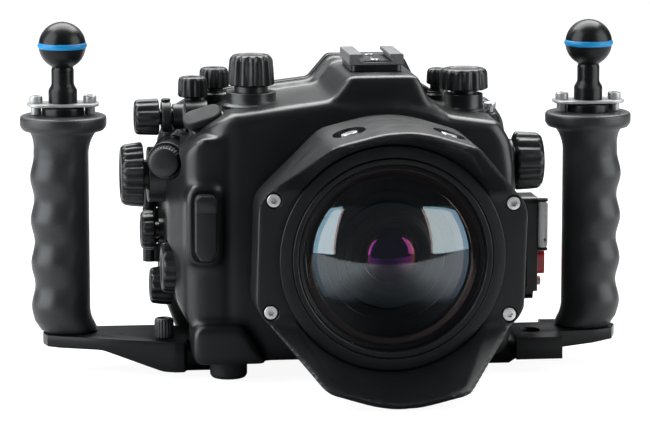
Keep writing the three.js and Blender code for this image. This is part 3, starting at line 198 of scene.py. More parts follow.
def stacked(levels, axis):
    # outlines with the same count of points, joined in order along the axis
    count = len(levels[0][0])

    def place(level, share):
        points, height = level
        point = points[round(share * count) % count]
        return point[0], point[1], -height if axis == "y" else height

    bm = loftedRings(count, levels, place)
    bmesh.ops.transform(bm, matrix=axisTurns[axis], verts=bm.verts)
    bmesh.ops.recalc_face_normals(bm, faces=bm.faces)
    return bm


def roundedSlab(outlineAt, front, back, rim, steps=6, axis="y", rearRim=0):
    # a slab whose front and rear edges are rounded by shrinking its outline, which outlineAt(grow) gives
    quarter = [math.pi / 2 * k / steps for k in range(steps + 1)]
    levels = [(outlineAt(-rim * (1 - math.sin(a))), front + rim * (1 - math.cos(a))) for a in quarter]
    if rearRim:
        levels += [(outlineAt(-rearRim * (1 - math.cos(a))), back - rearRim * (1 - math.sin(a))) for a in quarter]
    else:
        levels.append((outlineAt(0), back))
    return stacked(levels, axis)


def aim(bm, at, way=upWay):
    # stands a shape made round Z on a point, facing a direction
    turn = upWay.rotation_difference(Vector(way).normalized()).to_matrix().to_4x4()
    bmesh.ops.transform(bm, matrix=Matrix.Translation(Vector(at)) @ turn, verts=bm.verts)
    return bm


def onPort(bm, u=0, v=0, height=0):
    # a shape made round Z comes to the port's axis, facing forward, with its X and Y as u and v
    return aim(bm, portFace + Vector((u, -height, v)), frontWay)


def merged(*shapes):
    # several shapes in one mesh, each still a closed skin of its own
    whole = bmesh.new()
    for shape in shapes:
        mesh = bpy.data.meshes.new("part")
        shape.to_mesh(mesh)
        whole.from_mesh(mesh)
        shape.free()
        bpy.data.meshes.remove(mesh)
    return whole


def looseObject(bm, name):
    mesh = bpy.data.meshes.new(name)
    bm.to_mesh(mesh)
    bm.free()
    obj = bpy.data.objects.new(name, mesh)
    scene.collection.objects.link(obj)
    return obj


def applyModifiers(bm, *modifiers):
    # runs object modifiers on a shape and gives the shape back
    obj = looseObject(bm, "work")
    spent = [obj]
    for kind, values in modifiers:
        modifier = obj.modifiers.new(kind, kind)
        for key, value in values.items():
            if isinstance(value, bmesh.types.BMesh):
                value = looseObject(value, "tool")
                spent.append(value)
            setattr(modifier, key, value)
    bpy.context.view_layer.update()
    done = bpy.data.meshes.new_from_object(obj.evaluated_get(bpy.context.evaluated_depsgraph_get()))
    result = bmesh.new()
    result.from_mesh(done)
    for data in [o.data for o in spent] + [done]:
        for o in [o for o in spent if o and o.data == data]:
            spent.remove(o)
            bpy.data.objects.remove(o)
        bpy.data.meshes.remove(data)
    return result


def combined(bm, tools, operation="DIFFERENCE", solver="EXACT"):
    return applyModifiers(bm, *[("BOOLEAN", {"operation": operation, "solver": solver, "object": tool})
                                for tool in tools])


def carved(bm, *tools):
    return combined(bm, tools)


def inBoth(bm, other):
    return combined(bm, [other], "INTERSECT")


def quickCarved(bm, *tools):
    return combined(bm, tools, solver="MANIFOLD")


def quickFused(bm, *others):
    return combined(bm, others, "UNION", "MANIFOLD")


def castSkin(bm, voxel, rounds):
    # one smooth cast skin over shapes that pass through each other
    bm = applyModifiers(bm, ("REMESH", {"mode": "VOXEL", "voxel_size": voxel, "adaptivity": 0}))
    for _ in range(rounds):
        bmesh.ops.smooth_vert(bm, verts=bm.verts, factor=0.5, use_axis_x=True, use_axis_y=True, use_axis_z=True)
    return bm


def softCopy(node, width, steps=2, angle=32):
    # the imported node's own solid with its edges broken, in millimetres
    bm = bmesh.new()
    bm.from_mesh(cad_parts[node].data)
    bmesh.ops.scale(bm, vec=(1 / mm, 1 / mm, 1 / mm), verts=bm.verts)
    bmesh.ops.remove_doubles(bm, verts=bm.verts, dist=0.002)
    bmesh.ops.dissolve_limit(bm, angle_limit=math.radians(0.5), verts=bm.verts, edges=bm.edges)
    return bevelled(bm, [e for e in bm.edges if e.is_manifold and e.calc_face_angle(0) > math.radians(angle)], width,
                    steps)


print("stage: finishes")

# lengths in a finish are metres, so its grain has a real size
looks = {
    "cast": {"title": "cast black hard coat", "slot": "casing", "colour": (0.0028, 0.003, 0.0036),
             "second": (0.0042, 0.0045, 0.0053), "speck": (0.013, 0.0135, 0.0155), "roughness": (0.31, 0.39),
             "grainStrength": 0.1, "swellStrength": 0.05, "driftScale": 30},
    "turned": {"title": "anodised black", "slot": "casing", "colour": (0.0028, 0.003, 0.0034),
               "second": (0.004, 0.0042, 0.0048), "speck": (0.011, 0.0115, 0.0125), "specular": 0.26,
               "roughness": (0.26, 0.34), "grainStrength": 0.08, "driftScale": 60},
    "hood": {"title": "hood satin black", "slot": "hood", "colour": (0.003, 0.0032, 0.0038),
             "second": (0.0046, 0.0049, 0.0057), "speck": (0.014, 0.0146, 0.0165), "roughness": (0.34, 0.43),
             "grainStrength": 0.12, "driftScale": 35},
    "knob": {"title": "knob moulded black", "slot": "control", "colour": (0.0062, 0.0065, 0.0072),
             "second": (0.0092, 0.0096, 0.0106), "speck": (0.022, 0.023, 0.025), "specular": 0.48,
             "roughness": (0.32, 0.44), "grainStrength": 0.18, "grainScale": 2000},
    "grip": {"title": "grip rubber", "slot": "grip", "colour": (0.0092, 0.0095, 0.0106),
             "second": (0.0125, 0.0129, 0.0142), "speck": (0.038, 0.0395, 0.043), "specular": 0.45,
             "roughness": (0.34, 0.46), "grainStrength": 0.3, "grainScale": 1500, "grainDepth": 0.0001,
             "speckScale": 1400, "sheen": 0.05},
    "rubber": {"title": "black rubber", "slot": "rubber", "colour": (0.008, 0.008, 0.009),
               "second": (0.012, 0.012, 0.013), "speck": (0.03, 0.03, 0.032), "specular": 0.35,
               "roughness": (0.6, 0.78), "grainStrength": 0.4, "grainScale": 1700},
    "inner": {"title": "lens inside black", "slot": "control", "colour": (0.0015, 0.0015, 0.0018),
              "second": (0.0025, 0.0025, 0.003), "specular": 0.25, "roughness": (0.3, 0.42), "grainStrength": 0.004,
              "grainScale": 1600},
    "steel": {"title": "stainless plate", "slot": "steel", "colour": (0.4, 0.4, 0.395),
              "second": (0.32, 0.322, 0.325), "metallic": 0.35, "roughness": (0.26, 0.38), "stretch": (1, 9, 9),
              "driftScale": 260, "patchScale": 420, "grainStrength": 0.12, "grainScale": 900},
    "rail": {"title": "shoe rail steel", "slot": "steel", "colour": (0.2, 0.2, 0.2), "second": (0.15, 0.152, 0.155),
             "metallic": 0.5, "roughness": (0.34, 0.46), "stretch": (9, 1, 9), "driftScale": 240, "patchScale": 380,
             "grainStrength": 0.12, "grainScale": 900},
    "lever": {"title": "latch lever steel", "slot": "steel", "colour": (0.78, 0.78, 0.77),
              "second": (0.66, 0.665, 0.67), "metallic": 0.12, "roughness": (0.3, 0.4), "stretch": (1, 1, 9),
              "driftScale": 260, "patchScale": 420, "grainStrength": 0.12, "grainScale": 900},
    "screw": {"title": "bright screw steel", "slot": "steel", "colour": (0.74, 0.74, 0.73),
              "second": (0.6, 0.61, 0.62), "metallic": 0.6, "roughness": (0.16, 0.28), "driftScale": 500,
              "grainStrength": 0.06, "grainScale": 1600},
    "blue": {"title": "blue seal rubber", "slot": "blue_rubber", "colour": (0.001, 0.15, 0.35),
             "second": (0.002, 0.18, 0.41), "speck": (0.008, 0.24, 0.5), "specular": 0.32,
             "roughness": (0.34, 0.46), "grainStrength": 0.08, "speckScale": 1200},
    "red": {"title": "red lock plastic", "slot": "red", "colour": (0.55, 0.006, 0.01), "second": (0.66, 0.012, 0.016),
            "speck": (0.8, 0.06, 0.06), "roughness": (0.24, 0.36), "grainStrength": 0.1, "coat": 0.2},
    "coated": {"title": "coated lens", "slot": "glass", "colour": (0.0012, 0.0016, 0.0018),
               "second": (0.002, 0.0026, 0.003), "specular": 0.06, "roughness": (0.01, 0.02), "grainStrength": 0,
               "driftScale": 120, "film": 390, "filmIor": 1.42},
    "dome": {"title": "dome glass", "slot": "glass", "colour": (0.97, 0.985, 1), "ior": 1.5, "film": 225,
             "filmIor": 1.62},
    "window": {"title": "window glass", "slot": "glass", "colour": (0.85, 0.9, 0.93), "ior": 1.49},
}


def setInputs(node, values):
    for key, value in values.items():
        node.inputs[key].default_value = value
    return node


def addNode(tree, kind, values=None, **settings):
    node = tree.nodes.new("ShaderNode" + kind)
    for key, value in settings.items():
        setattr(node, key, value)
    return setInputs(node, values or {})


def newFinish(title):
    finish = bpy.data.materials.new(title)
    finish.use_nodes = True
    return finish, finish.node_tree, finish.node_tree.nodes["Principled BSDF"]


def makeFinish(look):
    finish, tree, shader = newFinish(look["title"])
    link = tree.links.new
    setInputs(shader, {
        "Metallic": look.get("metallic", 0), "Specular IOR Level": look.get("specular", 0.5),
        "Coat Weight": look.get("coat", 0), "Coat Roughness": 0.2, "Sheen Weight": look.get("sheen", 0),
        "Sheen Roughness": 0.5, "Thin Film Thickness": look.get("film", 0),
        "Thin Film IOR": look.get("filmIor", 1.33)})
    place = addNode(tree, "TexCoord")
    mapping = addNode(tree, "Mapping", {"Scale": look.get("stretch", (1, 1, 1))})
    link(place.outputs["Object"], mapping.inputs["Vector"])

    def noise(scale, detail=3, rough=0.5):
        node = addNode(tree, "TexNoise", {"Scale": scale, "Detail": detail, "Roughness": rough})
        link(mapping.outputs["Vector"], node.inputs["Vector"])
        return node.outputs["Fac"]

    def spread(value, low, high, fromLow=0.3, fromHigh=0.7):
        node = addNode(tree, "MapRange", {"From Min": fromLow, "From Max": fromHigh, "To Min": low, "To Max": high})
        link(value, node.inputs["Value"])
        return node.outputs["Result"]

    # colour: a broad drift between two tones, with fine specks of a third
    drift = addNode(tree, "Mix", {6: (*look["colour"], 1), 7: (*look["second"], 1)}, data_type="RGBA")
    link(spread(noise(look.get("driftScale", 45), 4), 0, 1), drift.inputs[0])
    colour = drift.outputs[2]
    if "speck" in look:
        specks = addNode(tree, "Mix", {7: (*look["speck"], 1)}, data_type="RGBA")
        link(spread(noise(look.get("speckScale", 1900), 2), 0, 1, 0.62, 0.8), specks.inputs[0])
        link(colour, specks.inputs[6])
        colour = specks.outputs[2]
    link(colour, shader.inputs["Base Color"])
    # roughness: rubbed and fresh patches
    link(spread(noise(look.get("patchScale", 90), 5, 0.6), *look["roughness"]), shader.inputs["Roughness"])
    # bump: the grain of the cast, blasted or moulded skin, over a longer swell
    grain = addNode(tree, "Bump", {"Strength": look["grainStrength"], "Distance": look.get("grainDepth", 0.00005)})
    link(noise(look.get("grainScale", 2400), 2, 0.6), grain.inputs["Height"])
    if "swellStrength" in look:
        swell = addNode(tree, "Bump", {"Strength": look["swellStrength"], "Distance": 0.0004})
        link(noise(160, 2), swell.inputs["Height"])
        link(swell.outputs["Normal"], grain.inputs["Normal"])
    link(grain.outputs["Normal"], shader.inputs["Normal"])
    return finish


def makeGlass(look):
    finish, tree, shader = newFinish(look["title"])
    setInputs(shader, {"Base Color": (*look["colour"], 1), "Roughness": 0, "IOR": look["ior"],
                       "Transmission Weight": 1, "Thin Film Thickness": look.get("film", 0),
                       "Thin Film IOR": look.get("filmIor", 1.33)})
    return finish


finishes = {key: makeGlass(look) if "ior" in look else makeFinish(look) for key, look in looks.items()}


def finishPiece(bm, name, look, replaced=None, body="housing", crease=32, slot=None):
    # the shape goes to metres and becomes a piece with a finish, riding on a body
    bmesh.ops.scale(bm, vec=(mm, mm, mm), verts=bm.verts)
    for face in bm.faces:
        face.smooth = True
    for edge in bm.edges:
        edge.smooth = not edge.is_manifold or edge.calc_face_angle(0) < math.radians(crease)
    obj = looseObject(bm, name)
    obj.data.materials.append(finishes[look])
    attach(obj, body)
    if replaced:
        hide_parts(replaced)
    return obj


print("stage: camera, floor and light")

# lengths here are metres; the camera stands where the photograph was taken from
cameraSet = {"place": (-0.2175, -1.7270, 0.3689), "ahead": (0.12030165, 0.9797783, -0.15988119),
             "up": (0.01948462, 0.15868946, 0.98713627), "right": (0.99254615, -0.12186934, 0), "lens": 182.8}
cameraData = bpy.data.cameras.new("camera")
cameraData.lens = cameraSet["lens"]
cameraData.sensor_width = 36
cameraData.clip_end = 30
camera = bpy.data.objects.new("camera", cameraData)
scene.collection.objects.link(camera)
turn = Matrix((cameraSet["right"], cameraSet["up"], [-v for v in cameraSet["ahead"]])).transposed()
camera.matrix_world = Matrix.Translation(cameraSet["place"]) @ turn.to_4x4()
scene.camera = camera
scene.view_settings.view_transform = "Standard"

# the camera sees the floor mostly by its glow; in reflections its colour is painted dark in a band ahead of the port,
# painted shade standing in for where the softboxes don't reach, and pale to the sides
floorSet = {"halfWidth": 1.6, "front": -0.42, "back": 2.2, "level": -0.0002, "colour": (0.93, 0.93, 0.93, 1),
            "roughness": 0.9, "glow": 1.16, "glowShare": 0.8, "paintedShadeColour": (0.02, 0.02, 0.024, 1),
            "paintedShadeMiddle": 0.024, "paintedShadeSpread": (0.015, 0.16), "paintedShadeShare": (0.96, 0.6)}
floorShape = bmesh.new()
bmesh.ops.create_grid(floorShape, x_segments=2, y_segments=2, size=1)
bmesh.ops.scale(floorShape, vec=(floorSet["halfWidth"], (floorSet["back"] - floorSet["front"]) / 2, 1),
                verts=floorShape.verts)
bmesh.ops.translate(floorShape, vec=(0, (floorSet["back"] + floorSet["front"]) / 2, floorSet["level"]),
                    verts=floorShape.verts)
floor = looseObject(floorShape, "floor")
floorFinish, floorTree, floorShader = newFinish("pale floor")
setInputs(floorShader, {"Base Color": floorSet["colour"], "Roughness": floorSet["roughness"]})
floorRays = addNode(floorTree, "LightPath")
floorPlace = addNode(floorTree, "TexCoord")
floorParts = addNode(floorTree, "SeparateXYZ")
# for glossy rays the floor's colour is mixed towards a dark tone in a band round the middle: painted shade seen in
# reflections
floorOff = addNode(floorTree, "Math", {1: floorSet["paintedShadeMiddle"]}, operation="SUBTRACT")
floorSide = addNode(floorTree, "Math", operation="ABSOLUTE")
floorFade = addNode(floorTree, "MapRange",
                    {"From Min": floorSet["paintedShadeSpread"][0], "From Max": floorSet["paintedShadeSpread"][1],
                     "To Min": floorSet["paintedShadeShare"][0], "To Max": floorSet["paintedShadeShare"][1]},
                    interpolation_type="SMOOTHSTEP")
floorPaintedShade = addNode(floorTree, "Math", operation="MULTIPLY")
floorTone = addNode(floorTree, "Mix", {6: floorSet["colour"], 7: floorSet["paintedShadeColour"]}, data_type="RGBA")
floorGlow = addNode(floorTree, "Emission", {"Strength": floorSet["glow"]})
floorShare = addNode(floorTree, "Math", {1: floorSet["glowShare"]}, operation="MULTIPLY")
floorMix = addNode(floorTree, "MixShader")
for source, target in (
        (floorPlace.outputs["Object"], floorParts.inputs[0]), (floorParts.outputs["X"], floorOff.inputs[0]),
        (floorOff.outputs[0], floorSide.inputs[0]), (floorSide.outputs[0], floorFade.inputs["Value"]),
        (floorFade.outputs["Result"], floorPaintedShade.inputs[0]), (floorRays.outputs["Is Glossy Ray"], floorPaintedShade.inputs[1]),
        (floorPaintedShade.outputs[0], floorTone.inputs[0]), (floorTone.outputs[2], floorShader.inputs["Base Color"]),
        (floorRays.outputs["Is Camera Ray"], floorShare.inputs[0]), (floorShare.outputs[0], floorMix.inputs[0]),
        (floorShader.outputs[0], floorMix.inputs[1]), (floorGlow.outputs[0], floorMix.inputs[2]),
        (floorMix.outputs[0], floorTree.nodes["Material Output"].inputs["Surface"])):
    floorTree.links.new(source, target)
floor.data.materials.append(floorFinish)

world = bpy.data.worlds.new("studio")
scene.world = world
world.use_nodes = True
worldTree = world.node_tree
plain = setInputs(worldTree.nodes["Background"], {"Color": (0.86, 0.9, 1, 1), "Strength": 0.08})
bright = addNode(worldTree, "Background", {"Color": (1, 1, 1, 1), "Strength": 1.1})
rays = addNode(worldTree, "LightPath")
choose = addNode(worldTree, "MixShader")
worldTree.links.new(rays.outputs["Is Camera Ray"], choose.inputs[0])
worldTree.links.new(plain.outputs[0], choose.inputs[1])
worldTree.links.new(bright.outputs[0], choose.inputs[2])
worldTree.links.new(choose.outputs[0], worldTree.nodes["World Output"].inputs["Surface"])

lamps = {
    "left softbox": {"place": (-1.0, -0.22, 0.8), "target": (0.02, 0, 0.8), "size": (1.1, 1.6), "power": 26,
                     "colour": (0.92, 0.97, 1)},
    "right softbox": {"place": (1.02, -0.4, 0.62), "target": (0.02, 0, 0.62), "size": (1.05, 1.24), "power": 15,
                      "colour": (0.95, 1, 0.985)},
    "top softbox": {"place": (0.0, 0.62, 1.3), "target": (0, 0.02, 0.12), "size": (1.9, 1.1), "power": 60,
                    "colour": (1, 1, 1)},
    "back wall light": {"place": (0.0, 1.7, 1.0), "target": (0, 0, 1.0), "size": (3.4, 0.9), "power": 5,
                        "colour": (1, 1, 1)},
}
for name, lamp in lamps.items():
    data = bpy.data.lights.new(name, "AREA")
    data.shape = "RECTANGLE"
    data.size, data.size_y = lamp["size"]
    data.energy = lamp["power"]
    data.color = lamp["colour"]
    light = bpy.data.objects.new(name, data)
    scene.collection.objects.link(light)
    light.location = lamp["place"]
    light.rotation_euler = (Vector(lamp["target"]) - Vector(lamp["place"])).to_track_quat("-Z", "Y").to_euler()

print("stage: casing")


def bodyOutline(grow=0, steps=8, box=None):
    left, right, bottom, top = box or [bodyLines[k] for k in ("left", "right", "bottom", "top")]
    left, right, bottom, top = left - grow, right + grow, bottom - grow, top + grow
    return roundOutline([(left + x * (right - left), bottom + z * (top - bottom), r * (top - bottom))
                         for x, z, r in bodyLines["outline"]], steps)


def planOutline(inset, back):
    left = bodyLines["left"] + inset
    width = bodyLines["right"] - bodyLines["left"] - 2 * inset
    front = bodyLines["front"] + inset
    depth = back - front
    return roundOutline([(left + x * width, front + y * depth, r * depth) for x, y, r in bodyLines["plan"]])


# at is the middle of the knob's foot; groove is how deep its valleys are; the collar, neck, flare and root are cast
# on the casing, whose skin lies standoff below the foot
knobs = {
    "mode_knob": {"at": (-42.5, 23.6, 155.6), "way": upWay, "radius": 12.6, "topRadius": 11.7, "height": 16.4,
                  "lobes": 14, "groove": 1.5, "lip": 2.4, "dish": 0.66, "collar": 13.4, "collarHeight": 6.6,
                  "neck": 9, "standoff": 10, "root": 15, "flare": 2.4},
    "record_knob": {"at": (-59, 63.1, 149.7), "way": upWay, "radius": 8.2, "topRadius": 7.9, "height": 11,
                    "lobes": 12, "groove": 0.8, "collar": 7.4, "collarHeight": 1.2, "neck": 5, "standoff": 2.6,
                    "root": 8},
    "drive_knob": {"at": (-71.8, 49.6, 146.4), "way": upWay, "radius": 8.2, "topRadius": 7.9, "height": 11,
                   "lobes": 12, "groove": 0.8, "collar": 6.5, "collarHeight": 8.5, "neck": 4.6, "standoff": 14,
                   "root": 19},
    "exposure_knob": {"at": (75, 35.6, 150.2), "way": upWay, "radius": 13.2, "topRadius": 12.8, "height": 11.5,
                      "lobes": 14, "groove": 1.1, "lip": 1.8, "dish": 0.66, "collar": 10.4, "collarHeight": 8.5,
                      "neck": 7, "standoff": 10.6, "root": 16},
    "review_knob": {"at": (65, 65.1, 149.4), "way": upWay, "radius": 6, "topRadius": 5.7, "height": 9, "lobes": 10,
                    "groove": 0.6, "collar": 6.2, "collarHeight": 1.6, "neck": 4, "standoff": 5, "root": 10,
                    "flare": 1},
    "flash_knob": {"at": (-90.9, 43.6, 136.5), "way": leftWay, "radius": 10, "topRadius": 9.6, "height": 13.2,
                   "lobes": 12, "groove": 0.9, "collar": 7, "collarHeight": 6.4, "neck": 4.4, "standoff": 13.9,
                   "root": 26},
    "command_wheel": {"at": (-100.2, 37.6, 106), "way": leftWay, "radius": 17.5, "topRadius": 16.6, "height": 12,
                      "lobes": 22, "groove": 1.2, "lip": 2.2, "dish": 0.7, "collar": 15, "collarHeight": 20.6,
                      "neck": 8, "standoff": 23.2, "root": 35, "flare": 2.4},
    "playback_knob": {"at": (-93, 55.6, 72.5), "way": leftWay, "radius": 11, "topRadius": 10.6, "height": 7.4,
                      "lobes": 14, "groove": 0.7, "collar": 6.6, "collarHeight": 13.6, "neck": 4.6, "standoff": 16,
                      "root": 28},
    "focus_knob": {"at": (-79.4, 24.6, 57), "way": leftWay, "radius": 14, "topRadius": 13.4, "height": 12,
                   "lobes": 12, "groove": 1.3, "collar": 11, "collarHeight": 1.4, "neck": 7, "standoff": 2.4,
                   "root": 14, "flare": 0.8},
    "zoom_knob": {"at": (-83.6, 49.6, 42.7), "way": leftWay, "radius": 11, "topRadius": 10, "height": 12.4,
                  "lobes": 10, "groove": 1.2, "collar": 8, "collarHeight": 5, "neck": 5, "standoff": 6.6,
                  "root": 18},
    "control_wheel": {"at": (102.4, 30.6, 111), "way": rightWay, "radius": 16, "topRadius": 15.4, "height": 14.6,
                      "lobes": 14, "groove": 1.4, "lip": 2.2, "dish": 0.6, "collar": 12, "collarHeight": 2.6,
                      "neck": 8, "standoff": 4.4, "root": 16},
    "front_dial": {"at": (-89.2, 17.9, 116),
                   "way": Vector((-math.sin(math.radians(12)), -math.cos(math.radians(12)), 0)), "radius": 8.7,
                   "topRadius": 8.3, "height": 8, "lobes": 30, "groove": 0.5, "lip": 1.1, "dish": 0.2,
                   "collar": 10, "collarHeight": 25, "neck": 5, "standoff": 26, "root": 26, "flare": 0.6},
}
casing = {"wall": 5, "rim": 6.5, "flange": (-89.5, 107, 8, 166), "flangeFront": 63.6, "flangeRim": 1.8,
          "mountRadius": 61, "mountHeight": 7, "bore": 45.5, "voxel": 1.15, "rounds": 14, "humpStep": 2.6,
          "hump": [(-4, 148, 2), (10, 146.8, 30), (24, 148, 40), (38, 146.8, 30), (56, 142, 2), (60, 172, 0),
                   (-8, 172, 0)],
          "corner": [(-77.5, -1, 10, -1, 6), (-37.5, 1, 10, -1, 1), (-50.5, 1, 32, 1, 9), (-77.5, -1, 32, 1, 6)],
          "cornerDepth": (-15.4, 14.6), "cornerRim": 3.2, "leverFrame": (-80.7, 63, -60.9, 106.8),
          "leverFrameDepth": (-12.6, 12), "leverHoleInset": 2.6, "leverHoleDepth": (-14, -10.8),
          "grooveInner": -2.7, "grooveOuter": -0.3, "grooveDepth": 2.5, "buttonSeat": 4.8}
buttonCollar = [(0, -14), (6.4, -14), (6.4, -4.2), (5, -2.6, 0.8), (4.6, -1.6), (4.6, 0, 0.5), (0, 0)]

# the cheek on the left side, in shares of its own box, and the knobs that stand in its recesses
cheek = {"box": (-88.5, -60, 22, 131.5), "front": -9.4, "back": 64.6, "recess": 1.6, "deep": 11.5,
         "outline": [(1, 1, 0), (0.6, 1, 0.05), (0.43, 0.968, 0.06), (0.14, 0.9, 0.08), (0, 0.8, 0.08),
                     (0, 0.37, 0.1), (0.16, 0.165, 0.1), (0.5, 0, 0.06), (1, 0, 0)],
         "plan": [(1, 1, 0), (0, 1, 0), (0, 0.4, 0.25), (0.36, 0, 0.2), (1, 0, 0)],
         "knobs": ("focus_knob", "zoom_knob", "front_dial")}
padSet = {"at": (-68.4, 16.6, 136.6), "way": Vector((-0.36, -0.5, 1)).normalized(), "halfLength": 10.5,
          "halfWidth": 6.6, "thick": 4, "rise": 1.9, "rim": 1.1, "seatSpread": 1.4, "seatDepth": 16, "bossInset": 1,
          "bossDepth": 12}


def ovalOutline(inset):
    x, y = padSet["halfLength"] - inset, padSet["halfWidth"] - inset
    return roundedRect(-x, -y, x, y, y)


def onPad(outline, low, high):
    return aim(prism(outline, low, high), padSet["at"], padSet["way"])


def makeCheek():
    left, right, low, high = cheek["box"]
    depth = cheek["back"] - 1 - cheek["front"]
    front = roundOutline([(left + x * (right - left), low + z * (high - low), r * (high - low))
                          for x, z, r in cheek["outline"]])
    plan = roundOutline([(left + x * (right - left), cheek["front"] + y * depth, r * depth)
                         for x, y, r in cheek["plan"]])
    return inBoth(prism(front, cheek["front"], cheek["back"], "y"), prism(plan, low - 5, high + 5))


def knobSeat(knob):
    # collar and neck with a cast root, made round Z with the knob's foot at zero
    wall = -knob["standoff"]
    top = wall + knob["collarHeight"]
    collar, neck, flare = knob["collar"], knob["neck"], knob.get("flare", 1.6)
    corners = [(0, -knob["root"]), (collar + flare, -knob["root"]), (collar + flare, wall - 0.5),
               (collar + flare * 0.3, wall + flare * 0.35, 1.2), (collar, min(wall + flare, top - 0.8)),
               (collar, top, 0.7), (neck + 1.2, top, 0.3), (neck + 0.6, top - 0.5, 0.3), (neck, top - 0.5, 0.3),
               (neck, -0.5), (0, -0.5)]
    return aim(softTurned(corners, 72), knob["at"], knob["way"])


def knobRecess(knob):
    radius = knob["radius"] + cheek["recess"]
    top = knob["height"] + cheek["deep"]
    return aim(softTurned([(0, -0.5), (radius, -0.5, 0.6), (radius, top), (0, top)], 72), knob["at"], knob["way"])


def hingeBarrels(numbers, side):
    # knuckles of the rear hinge with their webs; side is the web's faces along Y
    shapes = []
    for n in numbers:
        low = hinge["foot"] + hinge["pitch"] * n + hinge["gap"]
        high = low + hinge["pitch"] - 2 * hinge["gap"]
        corners = [(hinge["bore"], low), (hinge["radius"], low, 0.3), (hinge["radius"], high, 0.3),
                   (hinge["bore"], high)]
        shapes.append(aim(softTurned(corners, 32, closed=True), (hinge["x"], hinge["y"], 0)))
        shapes.append(roundedBox((hinge["webStart"], side[0], low), (hinge["webEnd"], side[1], high), 0.3, 2))
    return shapes


def makeCasing():
    front, back, wall = bodyLines["front"], bodyLines["back"], casing["wall"]
    block = inBoth(roundedSlab(bodyOutline, front, back, casing["rim"]), prism(planOutline(0, back + 1), 0, 180))
    block = carved(block, prism(roundOutline(casing["hump"]), front - 4, front + casing["humpStep"], "y"))
    flange = roundedSlab(lambda grow: bodyOutline(grow, 8, casing["flange"]), casing["flangeFront"], back,
                         casing["flangeRim"], 3)
    mount = onPort(softTurned([(0, -8), (casing["mountRadius"], -8),
                               (casing["mountRadius"], casing["mountHeight"], 1.4), (0, casing["mountHeight"])], 128))
    corner = roundedSlab(lambda grow: roundOutline([(x + grow * sideways, z + grow * upwards, radius) for
                                                    x, sideways, z, upwards, radius in casing["corner"]], 6),
                         *casing["cornerDepth"], casing["cornerRim"])
    leverFrame = roundedSlab(lambda grow: roundedRect(*casing["leverFrame"], 8, grow), *casing["leverFrameDepth"], 2.2)
    leverHole = prism(insetRect(casing["leverFrame"], casing["leverHoleInset"], 6), *casing["leverHoleDepth"], "y")
    padBoss = onPad(ovalOutline(padSet["bossInset"]), -padSet["bossDepth"], 0)
    padSeat = onPad(ovalOutline(-padSet["seatSpread"]), 0.05, padSet["seatDepth"])
    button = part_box("top_button")
    buttonMiddle = (button[0] + button[1]) / 2 / mm
    collar = aim(softTurned(buttonCollar, 48),
                 (buttonMiddle.x, buttonMiddle.y, button[1].z / mm - casing["buttonSeat"]))
    skin = castSkin(merged(block, flange, mount, corner, leverFrame, padBoss, collar, makeCheek()), casing["voxel"],
                    casing["rounds"])
    skin = quickCarved(skin, padSeat, *[knobRecess(knobs[name]) for name in cheek["knobs"]])
    skin = quickFused(skin, *[knobSeat(knob) for knob in knobs.values()],
                      *hingeBarrels((0, 2, 4), hinge["casingSide"]))
    cavity = inBoth(prism(bodyOutline(-wall), front + wall, back + 6, "y"), prism(planOutline(wall, back + 6), 10, 163))
    bore = onPort(turnedShape([(0, -12), (casing["bore"], -12), (casing["bore"], 12), (0, 12)], 128))
    grooveFloor = back - casing["grooveDepth"]
    groove = quickCarved(prism(bodyOutline(casing["grooveOuter"], 1), grooveFloor, back + 4, "y"),
                         prism(bodyOutline(casing["grooveInner"], 1), grooveFloor - 4, back + 6, "y"))
    return quickCarved(skin, leverHole, cavity, bore, groove)


finishPiece(makeCasing(), "casing_front", "cast", "front_casing", crease=34)

print("stage: port and hood")

